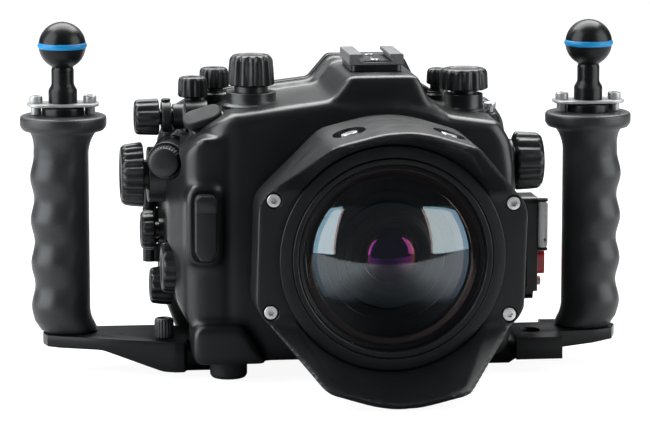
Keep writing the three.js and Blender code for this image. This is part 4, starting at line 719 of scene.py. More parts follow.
# rings spun round the port's axis, each corner (radius, height, rounding) over the casing's front
portRings = {
    "port_barrel_turned": {"look": "hood", "slot": "casing", "replaced": "port_barrel", "sides": 128, "profile": [
        (44, 25), (44, 16.3, 0.3), (42, 16.3, 0.3), (42, -1.7, 0.3), (45.2, -1.7, 0.6), (45.2, 7.3, 0.2), (54, 7.3, 1),
        (54, 12, 0.4), (53.1, 12.9, 0.3), (53.1, 14.2, 0.3), (54, 15, 0.4), (54, 37.5, 0.4), (47.4, 37.5, 0.3),
        (47.4, 35.3, 0.2), (44, 35.3, 0.3), (44, 25.1)]},
    "dome_ring": {"look": "hood", "slot": "casing", "replaced": "glass_ring", "crease": 24, "profile": [
        (49.4, 39), (49.4, 37.8, 0.2), (54.9, 37.8, 0.3), (54.9, 40.25, 0.2), (59.3, 40.25, 0.3), (59.3, 42.5, 0.5),
        (53.3, 42.7, 0.3), (53.1, 41.5, 0.1), (52.75, 41.5, 0.1), (52.5, 43, 0.4), (49.8, 42.8, 0.4), (49.4, 42, 0.2),
        (49.4, 39.1)]},
    # the gasket in the gap round the dome's edge and the thin cushion under its foot are real seals, but they take the
    # near-black lens-inside finish, darker than rubber, so the gap and the seat seen through the glass read as deep
    # shade: painted shade
    "dome_gasket": {"look": "inner", "profile": [
        (46.9, 38.1), (46.9, 37.85, 0.1), (49.3, 37.85, 0.1), (49.3, 42.1, 0.15), (48.9, 42.1, 0.15), (48.7, 38.9, 0.3),
        (46.9, 38.4, 0.1), (46.9, 38.15)]},
    "dome_cushion": {"look": "inner", "profile": [(41.3, 35.33), (47.1, 35.33), (47.1, 35.47), (41.3, 35.47)]},
    "lens_tunnel": {"look": "inner", "replaced": "port_baffle", "crease": 20, "profile": [
        (14.5, 26), (14.5, 24), (30.5, 24), (41.7, 28), (43.7, 28), (43.7, 33, 0.3), (41.7, 33, 0.4), (34.2, 31),
        (33.8, 30.6, 0.1), (30.5, 30.1, 0.5), (28.4, 30.1, 0.4), (28, 31.5, 0.5), (24, 32.7), (23.8, 32.5),
        (23.5, 32.86), (20.8, 33.9, 0.4), (18.5, 34, 0.4), (18, 33.2, 0.2), (17.4, 33.2, 0.1), (17, 32.6, 0.2),
        (16.4, 32.6, 0.1), (16, 32, 0.2), (14.5, 32, 0.1), (14.5, 26.1)]},
}
for name, ring in portRings.items():
    finishPiece(onPort(softTurned(ring["profile"], ring.get("sides", 160), 3, closed=True)), name, ring["look"],
                ring.get("replaced"), crease=ring.get("crease", 32), slot=ring.get("slot"))

dome = {"edge": 45, "rim": 47.2, "foot": 35.5, "seat": 37.5, "rise": 18, "thick": 4, "steps": 30, "sides": 192}
lens = {"radius": 14.2, "foot": 26, "rim": 34, "rise": 4.8, "glass": 13.2, "ring": 0.5, "steps": 20}


def makeDome():
    outer = (dome["edge"] ** 2 + dome["rise"] ** 2) / (2 * dome["rise"])
    centre = dome["seat"] + dome["rise"] - outer
    inner = outer - dome["thick"]
    outerEdge = math.degrees(math.asin((dome["seat"] - centre) / outer))
    innerEdge = math.degrees(math.asin((dome["foot"] - centre) / inner))
    profile = arcPoints((0, centre), outer, 90, outerEdge, dome["steps"])
    profile += [(dome["rim"] - 0.3, dome["seat"]), (dome["rim"], dome["seat"] - 0.3), (dome["rim"], dome["foot"])]
    profile += arcPoints((0, centre), inner, innerEdge, 90, dome["steps"])
    profile[0] = (0, profile[0][1])
    profile[-1] = (0, profile[-1][1])
    return turnedShape(profile, dome["sides"])


def makeLens():
    rim, glass = lens["rim"], lens["glass"]
    profile = [(0, lens["foot"]), (lens["radius"], lens["foot"]), (lens["radius"], rim),
               (lens["radius"] - 0.3, rim + lens["ring"]), (glass, rim + lens["ring"])]
    for a in [math.pi / 2 * i / lens["steps"] for i in range(1, lens["steps"])]:
        profile.append((glass * math.cos(a), rim + lens["rise"] * math.sin(a)))
    return turnedShape(profile + [(0, rim + lens["rise"])])


finishPiece(onPort(makeDome()), "dome_clear", "dome", "dome_glass", crease=50)
finishPiece(onPort(makeLens()), "lens_front", "coated", "inner_lens", crease=40)

# widths and heights are from the port's axis, depths forward from the casing's front
hood = {"halfWidth": 71, "earHalf": 28.5, "petalHalf": 37, "petalCorner": 64, "reach": 74.2, "back": 7.5, "ears": 40,
        "notchHalf": 34.8, "lip": 3.2, "openFoot": 60.2, "front": 83, "frontRim": 2.2, "rearRim": 3, "voxel": 1.05,
        "rounds": 4, "throat": 55.3, "screwX": 63, "screwZ": 29.5, "pocketX": 26.2, "pocketWidth": 17.6,
        "pocketLength": 27, "pocketDepth": 4.2, "pocketTilt": 17, "pocketHeight": 49, "roll": 1.7,
        "screwHole": [(0, 25), (2.1, 25), (2.1, 36.6), (4.2, 36.6, 0.3), (4.2, 39.6, 0.2), (4.7, 40.2), (5.2, 46),
                      (0, 46)]}
hood["bore"] = [(0, 2), (54.3, 2), (54.3, 37.2), (hood["throat"], 37.2), (hood["throat"], 40.1), (59.7, 40.1),
                (59.9, 42.9), (0, 42.9)]

# socket screws: head radius, head height, shank radius, length, socket's share of the head, sides, edge rounding
screws = {"hood": (3.5, 3, 1.7, 14, 0.52, 40, 0.5), "pocket": (4.4, 4, 2, 4.4, 0.56, 40, 0.5),
          "clamp": (3.6, 4, 1.8, 4.2, 0.46, 40, 1.1), "shoe": (2.4, 1.1, 1, 1.5, 0.5, 32, 0.4),
          "latch": (2.5, 3.3, 1.6, 5, 0.5, 32, 0.5), "window": (1.7, 0.7, 0.8, 1.2, 0.5, 24, 0.3)}


def capScrew(kind):
    # stands on Z with the top of its head at zero
    head, height, shank, length, socket, sides, domed = screws[kind]
    screw = softTurned([(0, -length), (shank, -length, 0.3), (shank, -height, 0.1), (head, -height, 0.25),
                        (head, 0, domed), (0, 0)], sides, 3)
    hexagon = [(head * socket * math.cos(math.pi / 3 * k), head * socket * math.sin(math.pi / 3 * k)) for k in range(6)]
    return carved(screw, prism(hexagon, -height * 0.6, 2))


def rolled(bm):
    # the shade sits a little turned on the port, clockwise as seen from the front
    turn = Matrix.Rotation(math.radians(hood["roll"]), 3, "Y")
    bmesh.ops.rotate(bm, cent=portFace, matrix=turn, verts=bm.verts)
    return bm


def hoodOutline(grow=0):
    w, e, p, c, r = (hood[k] for k in ("halfWidth", "earHalf", "petalHalf", "petalCorner", "reach"))
    corners = [(w, -e, 15), (w, e, 15), (p, c, 16), (0, r, r), (-p, c, 16), (-w, e, 15), (-w, -e, 15),
               (-p, -c, 16), (0, -r, r), (p, -c, 16)]
    scale = 1 + grow / w
    return roundOutline([(portFace.x + x * scale, portFace.z + z * scale, radius) for x, z, radius in corners])


def aroundPort(outline):
    return [Vector((p.x - portFace.x, p.y - portFace.z)) for p in outline]


def hoodOpening():
    # the opening goes from a circle at the ring to the shade's own outline, less a thin lip, at its front
    edge = aroundPort(hoodOutline(-hood["lip"]))
    segments = 144
    reach = []
    for k in range(segments):
        way = Vector((math.cos(2 * math.pi * k / segments), math.sin(2 * math.pi * k / segments)))
        hits = []
        for a, b in zip(edge, edge[1:] + edge[:1]):
            turn = way.cross(b - a)
            if abs(turn) > 1e-9 and -1e-6 <= a.cross(way) / turn <= 1 + 1e-6:
                hits.append(a.cross(b - a) / turn)
        reach.append(max(hits))

    def place(level, share):
        up, radius, grown = level
        out = radius or reach[round(share * segments) % segments] * grown
        return out * math.cos(share * 2 * math.pi), out * math.sin(share * 2 * math.pi), up

    levels = [(20, 53, 0), (37, hood["throat"], 0), (hood["ears"] - 0.1, hood["throat"], 0),
              (hood["ears"], hood["openFoot"] - 0.3, 0), (42.6, hood["openFoot"], 0), (hood["front"], 0, 1),
              (hood["front"] + 12, 0, 1.02)]
    return loftedRings(segments, levels, place)


def pocketPlaces():
    # the point and direction of each sunk pocket, on the top petal's surface to the side of its middle
    points = aroundPort(hoodOutline())
    places = []
    for side in (-1, 1):
        u = side * hood["pocketX"]
        top = max(a.y + (b.y - a.y) * (u - a.x) / (b.x - a.x) for a, b in zip(points, points[1:] + points[:1])
                  if (a.x - u) * (b.x - u) <= 0 and abs(a.x - b.x) > 1e-9)
        tilt = math.radians(hood["pocketTilt"]) * side
        places.append((portFace + Vector((u, -hood["pocketHeight"], top)),
                       Vector((math.sin(tilt), 0, math.cos(tilt)))))
    return places


def makeHood():
    face = portFace.y
    blank = roundedSlab(hoodOutline, face - hood["front"], face - hood["back"], hood["frontRim"], 4, "y",
                        hood["rearRim"])
    e, c = hood["notchHalf"], hood["petalCorner"]
    over = face - hood["front"] - 12
    wide = e + (c - e) / (hood["front"] - hood["ears"]) * (hood["front"] + 12 - hood["ears"])
    notch = prism(roundOutline([(face - hood["ears"], portFace.z - e, 9), (over, portFace.z - wide, 0),
                                (over, portFace.z + wide, 0), (face - hood["ears"], portFace.z + e, 9)]),
                  portFace.x - 90, portFace.x + 90, "x")
    skin = castSkin(carved(blank, notch, onPort(hoodOpening())), hood["voxel"], hood["rounds"])
    tools = [onPort(turnedShape(hood["bore"], 144))]
    for x in (-1, 1):
        for z in (-1, 1):
            tools.append(onPort(softTurned(hood["screwHole"], 40), x * hood["screwX"], z * hood["screwZ"]))
    oval = [Vector((hood["pocketWidth"] / 2 * math.cos(k * math.pi / 24),
                    hood["pocketLength"] / 2 * math.sin(k * math.pi / 24))) for k in range(48)]
    for at, way in pocketPlaces():
        tools.append(aim(prism(oval, -hood["pocketDepth"], 8, "z", 1.2, 3, "low"), at, way))
    return quickCarved(skin, *tools)


finishPiece(rolled(makeHood()), "hood_shade", "hood", "port_hood", crease=30)
for number, (x, z) in enumerate(((1, 1), (-1, 1), (-1, -1), (1, -1)), 1):
    screw = onPort(capScrew("hood"), x * hood["screwX"], z * hood["screwZ"], hood["ears"])
    finishPiece(rolled(screw), f"hood_bolt_{number}", "screw", f"hood_screw_{number}")
for number, (at, way) in enumerate(pocketPlaces(), 1):
    screw = aim(capScrew("pocket"), at - way * (hood["pocketDepth"] - screws["pocket"][1]), way)
    finishPiece(rolled(screw), f"hood_top_bolt_{number}", "screw")

print("stage: knobs and dials")

# one rib and one valley of a gripped rim, in shares of the groove's depth
ribShares = [-1, -0.8, -0.28, 0, 0, 0, -0.28, -0.8]


def knobShape(knob):
    steps = len(ribShares)
    segments = knob["lobes"] * steps
    height, radius, top = knob["height"], knob["radius"], knob["topRadius"]
    lip, dish = knob.get("lip", 1.5), knob.get("dish", 0.62)
    levels = [(0, radius - 1.2, 0.3), (0.35, radius - 0.5, 0.7), (0.9, radius, 1),
              (height * 0.5, (radius + top) / 2, 1), (height - lip - 1.1, top, 1), (height - lip - 0.3, top - 0.1, 0.8),
              (height - lip * 0.5, top - lip * 0.4, 0.4), (height - 0.25, top - lip * 0.85, 0.1),
              (height, top - lip * 1.3, 0), (height, top * (dish + 0.04), 0)]
    if dish > 0.3:   # a plain face has no dish
        levels += [(height - 0.15, top * dish, 0), (height - 0.7, top * (dish - 0.05), 0)]

    def place(level, share):
        up, reach, cut = level
        reach += knob["groove"] * cut * ribShares[round(share * segments) % steps]
        return reach * math.cos(share * 2 * math.pi), reach * math.sin(share * 2 * math.pi), up

    return aim(loftedRings(segments, levels, place), knob["at"], knob["way"])


for name, knob in knobs.items():
    finishPiece(knobShape(knob), name + "_gripped", "knob", name, name, 36)

rearDial = {"at": (72, 83.6, 115), "way": backWay, "radius": 13, "topRadius": 12.6, "height": 6, "lobes": 24,
            "groove": 0.7, "lip": 1.4}
thumb = {"at": (-91, 13.6, 20.5), "way": upWay, "radius": 5.4, "topRadius": 5.2, "height": 11, "lobes": 18,
         "groove": 0.35, "lip": 1}
finishPiece(knobShape(rearDial), "rear_dial_gripped", "knob", "rear_dial", "rear_dial", 36)
finishPiece(knobShape(thumb), "arm_thumb_knurled", "knob", "arm_thumb_screw", "arm_thumb_screw", 36)

print("stage: handles")

gripSet = {"length": 120.3, "drop": 2.2, "waist": 14.9, "bump": 2.3, "ahead": 0.7, "firstBump": 14, "pitch": 23.5,
           "bumps": 4, "foot": 12.2, "footRim": 1.6, "base": 13.4, "baseHeight": 6, "lean": 1.4, "flare": 13,
           "flangeRadius": 23.35, "flangeHeight": 9, "flangeRim": 1.6, "toeReach": 5, "toeHeight": 13}
mountSet = {"lip": 11.4, "lipHeight": 2.2, "socket": 7.75, "socketHeight": 12.4, "stem": 6.05, "ball": 12.7,
            "rise": 35.2, "ring": 11.9, "ringThick": 3.2}
clamp = {"length": 38.7, "width": 21, "round": 8.4, "thick": 1.5, "foot": 2.7, "spread": 14.5, "spacer": 2.8,
         "hole": 7.9}
handles = {"left": {"x": -142.5, "y": 42.6, "foot": 20.3, "side": -1},
           "right": {"x": 142.5, "y": 28.6, "foot": 19.7, "side": 1}}


def gripShape(handle):
    # round levels from the foot up, that swell between the fingers to the outer front side
    g, side = gripSet, handle["side"]
    neck = g["length"] - g["flangeHeight"]

    def swell(z):
        t = (z - g["firstBump"]) / g["pitch"]
        return 0 if t < -0.5 or t > g["bumps"] - 0.5 else math.cos(t * 2 * math.pi) * 0.5 + 0.5

    def place(z, share):
        a = share * 2 * math.pi
        outward = max(0, math.cos(a) * side - g["ahead"] * math.sin(a)) / math.hypot(1, g["ahead"])
        reach = g["waist"] + g["bump"] * swell(z) * outward ** 0.8
        rise = (z - (neck - g["flare"])) / g["flare"]
        lean = g["lean"] * min(1, max(0, z) / g["baseHeight"], 1 - min(1, max(0, rise)))
        if z < g["baseHeight"]:
            base = g["foot"] + (g["base"] - g["foot"]) * math.sin(min(1, z / g["footRim"]) * math.pi / 2)
            reach = base + (reach - base) * (z / g["baseHeight"]) ** 2 * (3 - 2 * z / g["baseHeight"])
        if rise > 0:
            reach += (g["flangeRadius"] - g["flangeRim"] - reach) * (1 - math.sqrt(max(0, 1 - min(1, rise) ** 2)))
        toe = g["toeReach"] * max(0, 1 - z / g["toeHeight"]) ** 2 * max(0, -math.cos(a) * side)
        if z < g["footRim"]:
            toe *= 0.8 + 0.2 * math.sin(z / g["footRim"] * math.pi / 2)
        reach += toe
        return reach * math.cos(a) + side * lean, reach * math.sin(a), z

    body = loftedRings(72, [float(k) for k in range(int(neck) + 1)], place)
    r, top = g["flangeRadius"], g["length"] - g["drop"]
    plate = softTurned([(0, neck - 1), (r - g["flangeRim"], neck - 1), (r, neck + 1, 1.4), (r, top, 2), (0, top)],
                       steps=5)
    return aim(quickFused(body, plate), (handle["x"], handle["y"], handle["foot"]))


def ballMountShape():
    m, drop = mountSet, gripSet["drop"]
    neck = m["stem"] * 0.93
    points = softProfile([(0, -drop), (m["lip"], -drop), (m["lip"], m["lipHeight"], 0.9),
                          (m["socket"] + 0.5, m["lipHeight"] + 0.2, 0.4), (m["socket"], m["lipHeight"] + 1, 0.3),
                          (m["socket"], m["socketHeight"] - 1.2, 1), (m["stem"], m["socketHeight"] + 1.6, 1),
                          (m["stem"], m["rise"] - 13, 0.4), (neck, m["rise"] - 11.8, 0.6)], 3)
    groove = math.degrees(math.asin(m["ringThick"] / 2 / m["ball"]))
    middle = (0, m["rise"])
    points += arcPoints(middle, m["ball"], 4 - math.degrees(math.acos(neck / m["ball"])), -groove, 16)
    floor = m["ring"] - m["ringThick"] / 2
    points += [(floor, m["rise"] - m["ringThick"] / 2), (floor, m["rise"] + m["ringThick"] / 2)]
    points += arcPoints(middle, m["ball"], groove, 84, 18)
    top = m["rise"] + m["ball"]
    return turnedShape(points + [(1.6, top - 0.25), (1.2, top - 1.2), (0, top - 1.2)])


def ballRingShape():
    half, ball = mountSet["ringThick"] / 2, mountSet["ball"]
    inner = mountSet["ring"] - half + 0.1
    return softTurned([(inner, 0), (inner, -half, 0.1), (ball + 0.05, -half, 0.6), (ball + 0.75, 0, 0.8),
                       (ball + 0.05, half, 0.6), (inner, half, 0.1), (inner, 0.05)], closed=True)


def clampShape():
    half, wide, foot = clamp["length"] / 2, clamp["width"] / 2, clamp["foot"]
    top = foot + clamp["thick"]
    plate = prism(roundedRect(-half, -wide, half, wide, clamp["round"]), foot, top, "z", 0.35, 2)
    shapes = [carved(plate, turnedShape([(0, 0), (clamp["hole"], 0), (clamp["hole"], 9), (0, 9)], 64))]
    low = 0.05 - gripSet["drop"]
    for x in (-clamp["spread"], clamp["spread"]):
        spacer = softTurned([(0, low), (clamp["spacer"], low, 0.2), (clamp["spacer"], foot - 0.02, 0.2),
                             (0, foot - 0.02)], 32)
        shapes += [aim(spacer, (x, 0, 0)), aim(capScrew("clamp"), (x, 0, top + screws["clamp"][1]))]
    return merged(*shapes)


for side, handle in handles.items():
    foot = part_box(f"{side}_ball_mount")[0].z / mm
    at = (handle["x"], handle["y"], foot)
    finishPiece(gripShape(handle), f"{side}_grip_moulded", "grip", f"{side}_grip", crease=36)
    finishPiece(aim(ballMountShape(), at), f"{side}_ball_turned", "turned", f"{side}_ball_mount", crease=36)
    finishPiece(aim(ballRingShape(), (handle["x"], handle["y"], foot + mountSet["rise"])), f"{side}_ball_seal",
                "blue", f"{side}_ball_ring", crease=40)
    finishPiece(aim(clampShape(), at), f"{side}_clamp_plate", "steel", f"{side}_clamp_bar", crease=30)
    finishPiece(softCopy(f"{side}_handle_bolt", 0.3), f"{side}_bolt_turned", "screw", f"{side}_handle_bolt")
    finishPiece(softCopy(f"{side}_arm", 1, 3, 40), f"{side}_arm_cast", "turned", f"{side}_arm", crease=28)

print("stage: levers and buttons")

releaseSet = {"box": (-76.5, -65.1, 67.2, 102.6), "back": -13.1, "face": -20.1, "pad": -23.1, "padLength": 9,
              "point": 3, "pivotZ": 96.6, "shaft": [(0, 0.4), (3, 0.4), (3, 9.2, 0.3), (0, 9.2)]}
powerSet = {"at": (-84.2, 43.6, 136.5),
            "hub": [(4.7, 1), (4.7, 0.2), (8.2, 0.2, 0.6), (8.5, 1.2, 0.4), (8.5, 4.4, 0.4), (8.2, 5.4, 0.6),
                    (4.7, 5.4), (4.7, 1.1)],
            "finger": [(0, 5), (2.7, 5), (2.7, 6.4, 0.8), (2, 7.6, 0.6), (2.6, 8.8, 0.8), (2.5, 9.6, 0.6),
                       (1.5, 10.2, 0.5), (0, 10.2)], "fingerHeight": 2.8}


def makeReleaseLever():
    # a long flat lever, pointed at its foot, with a raised finger pad that has a bevelled head
    left, right, low, high = releaseSet["box"]
    point = releaseSet["point"]
    blade = prism(roundOutline([(left, low + point * 1.6, 1.5), (left + point, low, 1.2), (right - point, low, 1.2),
                                (right, low + point * 1.6, 1.5), (right, high, 4), (left, high, 4)]),
                  releaseSet["face"], releaseSet["back"], "y", 1, 3)
    foot = high - releaseSet["padLength"]
    pad = prism(roundOutline([(left + 0.3, foot, 0.6), (right - 0.3, foot, 0.6), (right - 0.3, high - 2.4, 0.8),
                              (right - 2.6, high, 0.8), (left + 2.6, high, 0.8), (left + 0.3, high - 2.4, 0.8)], 4),
                releaseSet["pad"], releaseSet["face"] + 1.4, "y", 0.9, 2)
    shaft = aim(softTurned(releaseSet["shaft"], 32), ((left + right) / 2, releaseSet["back"], releaseSet["pivotZ"]),
                backWay)
    return combined(blade, (pad, shaft), "UNION")


def makePowerLever():
    # a thin hub round the knob's neck with a slender finger and a round head
    finger = aim(softTurned(powerSet["finger"], 32), (0, 0, powerSet["fingerHeight"]), rightWay)
    return aim(quickFused(softTurned(powerSet["hub"], 64, closed=True), finger), powerSet["at"], leftWay)


def makeShutterPad():
    rise = padSet["rise"]
    plate = roundedSlab(lambda grow: ovalOutline(-grow), -rise - padSet["thick"], -rise, padSet["rim"], 4, "y", 0.4)
    bmesh.ops.transform(plate, matrix=axisTurns["y"].inverted(), verts=plate.verts)
    stem = softTurned([(0, -8), (3, -8, 0.3), (3, rise + 0.5), (0, rise + 0.5)], 32)
    return aim(quickFused(plate, stem), padSet["at"], padSet["way"])


def makeTopButton():
    low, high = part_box("top_button")
    foot = low.z / mm - high.z / mm
    button = softTurned([(0, foot), (1.8, foot), (1.8, -3), (3.5, -3, 0.2), (3.5, 0, 0.7), (2.4, 0, 0.2),
                         (2.1, -0.35, 0.2), (0, -0.35)], 48)
    return aim(button, ((low.x + high.x) / 2 / mm, (low.y + high.y) / 2 / mm, high.z / mm))


finishPiece(makeReleaseLever(), "port_release_blade", "knob", "port_release_lever", "port_release_lever", 30)
finishPiece(makePowerLever(), "power_lever_finger", "knob", "power_lever", "power_lever", 36)
finishPiece(makeShutterPad(), "shutter_pad_oval", "rubber", "shutter_pad", "shutter_pad", 36, "control")
finishPiece(makeTopButton(), "top_button_turned", "screw", "top_button", "top_button", 36)

print("stage: accessory shoe")

shoe = {"x": 24, "baseFront": 12.6, "baseBack": 54.6, "baseHalf": 13.7, "baseLow": 163.3, "baseTop": 166.3,
        "front": 13.6, "back": 53.6, "half": 14.7, "low": 166.6, "floor": 168.2, "slot": 9.3, "lipLow": 170.4,
        "mouth": 7.4, "top": 172.3, "edge": 0.5, "screwsAt": (20.6, 44.6), "screwTop": 0.9}


def makeRails():
    x, front, mouth = shoe["x"], shoe["front"], shoe["mouth"]
    right = [(shoe["half"], shoe["low"], 0.3), (shoe["half"], shoe["top"], 0.9), (mouth, shoe["top"], 0.5),
             (mouth, shoe["lipLow"], 0.3), (shoe["slot"], shoe["lipLow"], 0.2), (shoe["slot"], shoe["floor"], 0.2)]
    section = [(x + u, z, r) for u, z, r in right] + [(x - u, z, r) for u, z, r in reversed(right)]
    rails = prism(roundOutline(section[-1:] + section[:-1], 3), front, shoe["back"], "y", shoe["edge"], 2)
    notch = prism(roundOutline([(x - mouth + 0.4, front + 5, 2), (x + mouth - 0.4, front + 5, 2),
                                (x + mouth - 0.4, front - 3, 0), (x - mouth + 0.4, front - 3, 0)]),
                  shoe["floor"] - 0.5, shoe["floor"] + 1)
    return carved(rails, notch)


rails = finishPiece(makeRails(), "shoe_rails_milled", "rail", "shoe_rails", crease=24)
rails.data.materials.append(finishes["cast"])   # the faces in the channel between the rails take the black cast finish, so the channel is darker
for face in rails.data.polygons:
    if abs(face.center.x / mm - shoe["x"]) < shoe["mouth"] and face.center.z / mm < shoe["floor"] + 0.3:
        face.material_index = 1
base = roundedRect(shoe["x"] - shoe["baseHalf"], shoe["baseFront"], shoe["x"] + shoe["baseHalf"], shoe["baseBack"], 3.6)
finishPiece(prism(base, shoe["baseLow"], shoe["baseTop"], "z", 0.5, 2), "shoe_base_plate", "cast", "shoe_base",
            crease=30)
for number, y in enumerate(shoe["screwsAt"], 1):
    screw = aim(capScrew("shoe"), (shoe["x"], y, shoe["floor"] + shoe["screwTop"]))
    finishPiece(screw, f"shoe_screw_{number}", "screw")

print("stage: latch")

latch = {"wall": 98.3, "face": 118, "front": 40.6, "back": 62.6, "low": 31.7, "high": 88.9, "round": 4,
         "leverLow": 60.5, "leverHigh": 85.9, "leverIn": 118.3, "leverOut": 123.9, "leverFront": 41.2,
         "leverBack": 79.2, "pivot": (121.1, 44), "pin": 1.4, "lug": 1.4, "lugHalf": 2.8, "gap": 0.3,
         "lock": (45.6, 44.9, 58.6, 58.1), "lockRound": 2.8, "lockIn": 115.4, "lockOut": 122.6,
         "screw": (121.3, 51.6, 40.3), "stepLow": 36.4, "stepFace": 115.4, "rib": 1.6, "ribPitch": 4}


def makeLatchBase():
    wall, face, front, back, gap = (latch[k] for k in ("wall", "face", "front", "back", "gap"))
    block = prism(roundedRect(front, latch["low"], back, latch["high"], latch["round"]), wall, face, "x", 1.1,
                  ends="high")
    step = roundedBox((latch["stepFace"], front - 2, latch["low"] - 2), (face + 2, back + 2, latch["stepLow"]), 0.8, 2)
    pocket = prism(insetRect(latch["lock"], -gap, latch["lockRound"]), latch["lockIn"] - 2.2, face + 2, "x")
    ribs = [roundedBox((wall + k * latch["ribPitch"], front - 1, latch["low"] + 7),
                       (wall + k * latch["ribPitch"] + latch["rib"], front + 0.7, latch["high"] - 5), 0.5, 2)
            for k in (1, 2, 3)]
    x, y = latch["pivot"]
    half, nose = latch["lugHalf"], x + 2.7
    foot = wall + 10
    lug = roundOutline([(foot, y - half, 0), (nose, y - half, 2.4), (nose, y + half, 2.4), (foot, y + half, 0)])
    low, high = latch["leverLow"], latch["leverHigh"]
    pinLow, pinHigh, radius = low - 1.9, high + 1.9, latch["pin"]
    pin = softTurned([(0, pinLow), (radius, pinLow, 0.3), (radius, pinHigh, 0.3), (0, pinHigh)], 24)
    return quickFused(carved(block, step, pocket, *ribs), prism(lug, low - gap - latch["lug"], low - gap, "z", 0.3, 2),
                      prism(lug, high + gap, high + gap + latch["lug"], "z", 0.3, 2), aim(pin, (x, y, 0)))


def makeLatchLever():
    # a plate with a rolled nose round its pin, rounded corners at its outer edge and a small cross hole
    inside, outside, front, back, low, high = (latch[k] for k in ("leverIn", "leverOut", "leverFront", "leverBack",
                                                                  "leverLow", "leverHigh"))
    nose = (outside - inside) / 2
    plate = prism(roundOutline([(inside, front, nose), (outside, front, nose), (outside, back, 1.6),
                                (inside, back, 1.6)]), low, high, "z", 0.5, 2)
    face = roundOutline([(inside - 1, low, 0), (outside, low, 3.4), (outside, high, 2.4), (inside - 1, high, 0)])
    plate = inBoth(plate, prism(face, front - 1, back + 1, "y"))
    x, y = latch["pivot"]
    hole = latch["pin"] + 0.25
    bore = turnedShape([(0, low - 1), (hole, low - 1), (hole, high + 1), (0, high + 1)], 24)
    eye = turnedShape([(0, -3), (0.8, -3), (0.8, 2.2), (0, 2.2)], 20)
    return carved(plate, aim(bore, (x, y, 0)), aim(eye, (x + 0.9, y - 2.6, low + 4.4), backWay))


finishPiece(makeLatchBase(), "latch_base_milled", "cast", "latch_base", crease=30)
finishPiece(makeLatchLever(), "latch_lever_plate", "lever", "latch_lever", "latch_lever", 30)
lock = prism(insetRect(latch["lock"], 0, latch["lockRound"]), latch["lockIn"], latch["lockOut"], "x", 1.7, 4, "high")
finishPiece(lock, "latch_lock_button", "red", "latch_lock", "latch_lock", 36)
finishPiece(aim(capScrew("latch"), latch["screw"], rightWay), "latch_screw", "screw")

print("stage: rear cover")

rear = {"front": 74.1, "back": 83.1, "frontRim": 0.8, "backRim": 2.4, "window": (-33, 32, 51, 94), "pane": 79.1,
        "rim": 4, "round": 6, "eye": (7, 128, 41, 150), "eyeWall": 5, "cup": (83.4, 92.4), "buttonX": 72,
        "buttonZ": (40, 60, 80), "dialZ": 115, "strike": ((104, 74.1, 62.5), (116.4, 83.1, 84.5)), "frameRise": 1.3,
        "screwInset": 4,
        "buttonWell": [(0, -12), (2.15, -12), (2.15, -0.9), (6.1, -0.9, 0.4), (6.1, 0.2), (6.9, 1), (0, 1)],
        "dialWell": [(0, -12), (3.2, -12), (3.2, -0.6), (14.2, -0.6, 0.3), (14.2, 0.2), (14.8, 1), (0, 1)],
        "button": [(0, -9), (2, -9, 0.2), (2, 2.3), (5, 2.3, 0.2), (5, 6.3, 1), (3.2, 6.3, 0.4), (2.4, 5.9, 0.4),
                   (0, 5.9)]}


def onCover(bm, x, z, rise=0):
    return aim(bm, (x, rear["back"] + rise, z), backWay)


def makeRearCover():
    front, back, window, eye, wall = (rear[k] for k in ("front", "back", "window", "eye", "eyeWall"))
    plate = roundedSlab(lambda grow: bodyOutline(grow, 8, casing["flange"]), front, back, rear["frontRim"], 3, "y",
                        rear["backRim"])
    plate = quickFused(plate, roundedBox(*rear["strike"], 1.2, 3), *hingeBarrels((1, 3), hinge["coverSide"]))
    tools = [prism(insetRect(window, 0, rear["round"]), rear["pane"] - 0.3, back + 2, "y"),
             prism(insetRect(window, rear["rim"], rear["round"]), front - 2, back, "y"),
             prism(insetRect(eye, wall - 0.3, 3), back - 3.3, back + 2, "y"),
             prism(insetRect(eye, wall + 2, 2), front - 2, back, "y")]
    tools += [onCover(softTurned(rear["buttonWell"], 48), rear["buttonX"], z) for z in rear["buttonZ"]]
    return quickCarved(plate, *tools, onCover(softTurned(rear["dialWell"], 72), rear["buttonX"], rear["dialZ"]))


def makeFrameRing(box, outward, inward, radius, low, high, edge):
    ring = prism(insetRect(box, -outward, radius + outward), low, high, "y", edge, 2)
    return carved(ring, prism(insetRect(box, inward, radius), low - 2, high + 2, "y"))


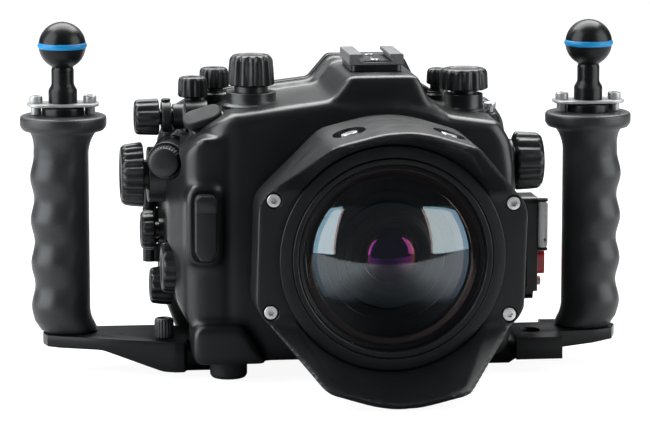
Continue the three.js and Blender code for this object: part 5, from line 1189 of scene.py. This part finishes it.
finishPiece(makeRearCover(), "rear_cover_cast", "cast", "rear_cover", "rear_door", 30)
finishPiece(softCopy("rear_window", 0.3), "rear_window_pane", "window", "rear_window", "rear_door")
finishPiece(softCopy("viewfinder_glass", 0.3), "viewfinder_pane", "window", "viewfinder_glass", "rear_door")
finishPiece(makeFrameRing(rear["window"], 3.4, 3, 6, rear["back"] + 0.02, rear["back"] + rear["frameRise"], 0.4),
            "window_frame", "hood", body="rear_door", slot="casing")
finishPiece(makeFrameRing(rear["eye"], 0, rear["eyeWall"], 4, *rear["cup"], 1.4), "viewfinder_cup_moulded", "rubber",
            "viewfinder_cup", "rear_door", 36)
x0, z0, x1, z1 = rear["window"]
frameScrews = [(x, z) for z in (z0 - 0.2, z1 + 0.2)
               for x in (x0 + rear["screwInset"], (x0 + x1) / 2, x1 - rear["screwInset"])]
frameScrews += [(x, (z0 + z1) / 2) for x in (x0 - 0.2, x1 + 0.2)]
for number, (x, z) in enumerate(frameScrews, 1):
    finishPiece(onCover(capScrew("window"), x, z, rear["frameRise"] + 0.55), f"window_screw_{number}", "screw",
                body="rear_door")
for number, z in enumerate(rear["buttonZ"], 1):
    name = f"rear_button_{number}"
    finishPiece(onCover(softTurned(rear["button"], 48), rear["buttonX"], z), name + "_cap", "knob", name, name, 36)

pinLow, pinHigh = (corner.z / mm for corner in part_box("hinge_pin"))
pin = softTurned([(0, pinLow), (hinge["pin"], pinLow, 0.4), (hinge["pin"], pinHigh, 0.4), (0, pinHigh)], 32)
finishPiece(aim(pin, (hinge["x"], hinge["y"], 0)), "hinge_pin_turned", "screw", "hinge_pin")
finishPiece(softCopy("main_seal", 0.35, 2, 50), "main_seal_moulded", "blue", "main_seal", crease=60)
finishPiece(softCopy("camera_tray", 0.5), "camera_tray_milled", "cast", "camera_tray")

print("stage: feet")

for name in [f"{end}_{side}_foot" for end in ("front", "rear") for side in ("left", "right")]:
    low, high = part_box(name)
    middle, top = (low + high) / 2 / mm, high.z / mm
    pad = softTurned([(0, 0.3), (6.6, 0.3), (7, 0, 0.2), (8.8, 0, 0.8), (10, 1.8, 0.6), (10, top, 0.3), (0, top)], 72)
    finishPiece(aim(pad, (middle.x, middle.y, 0)), name + "_moulded", "rubber", name, crease=36)
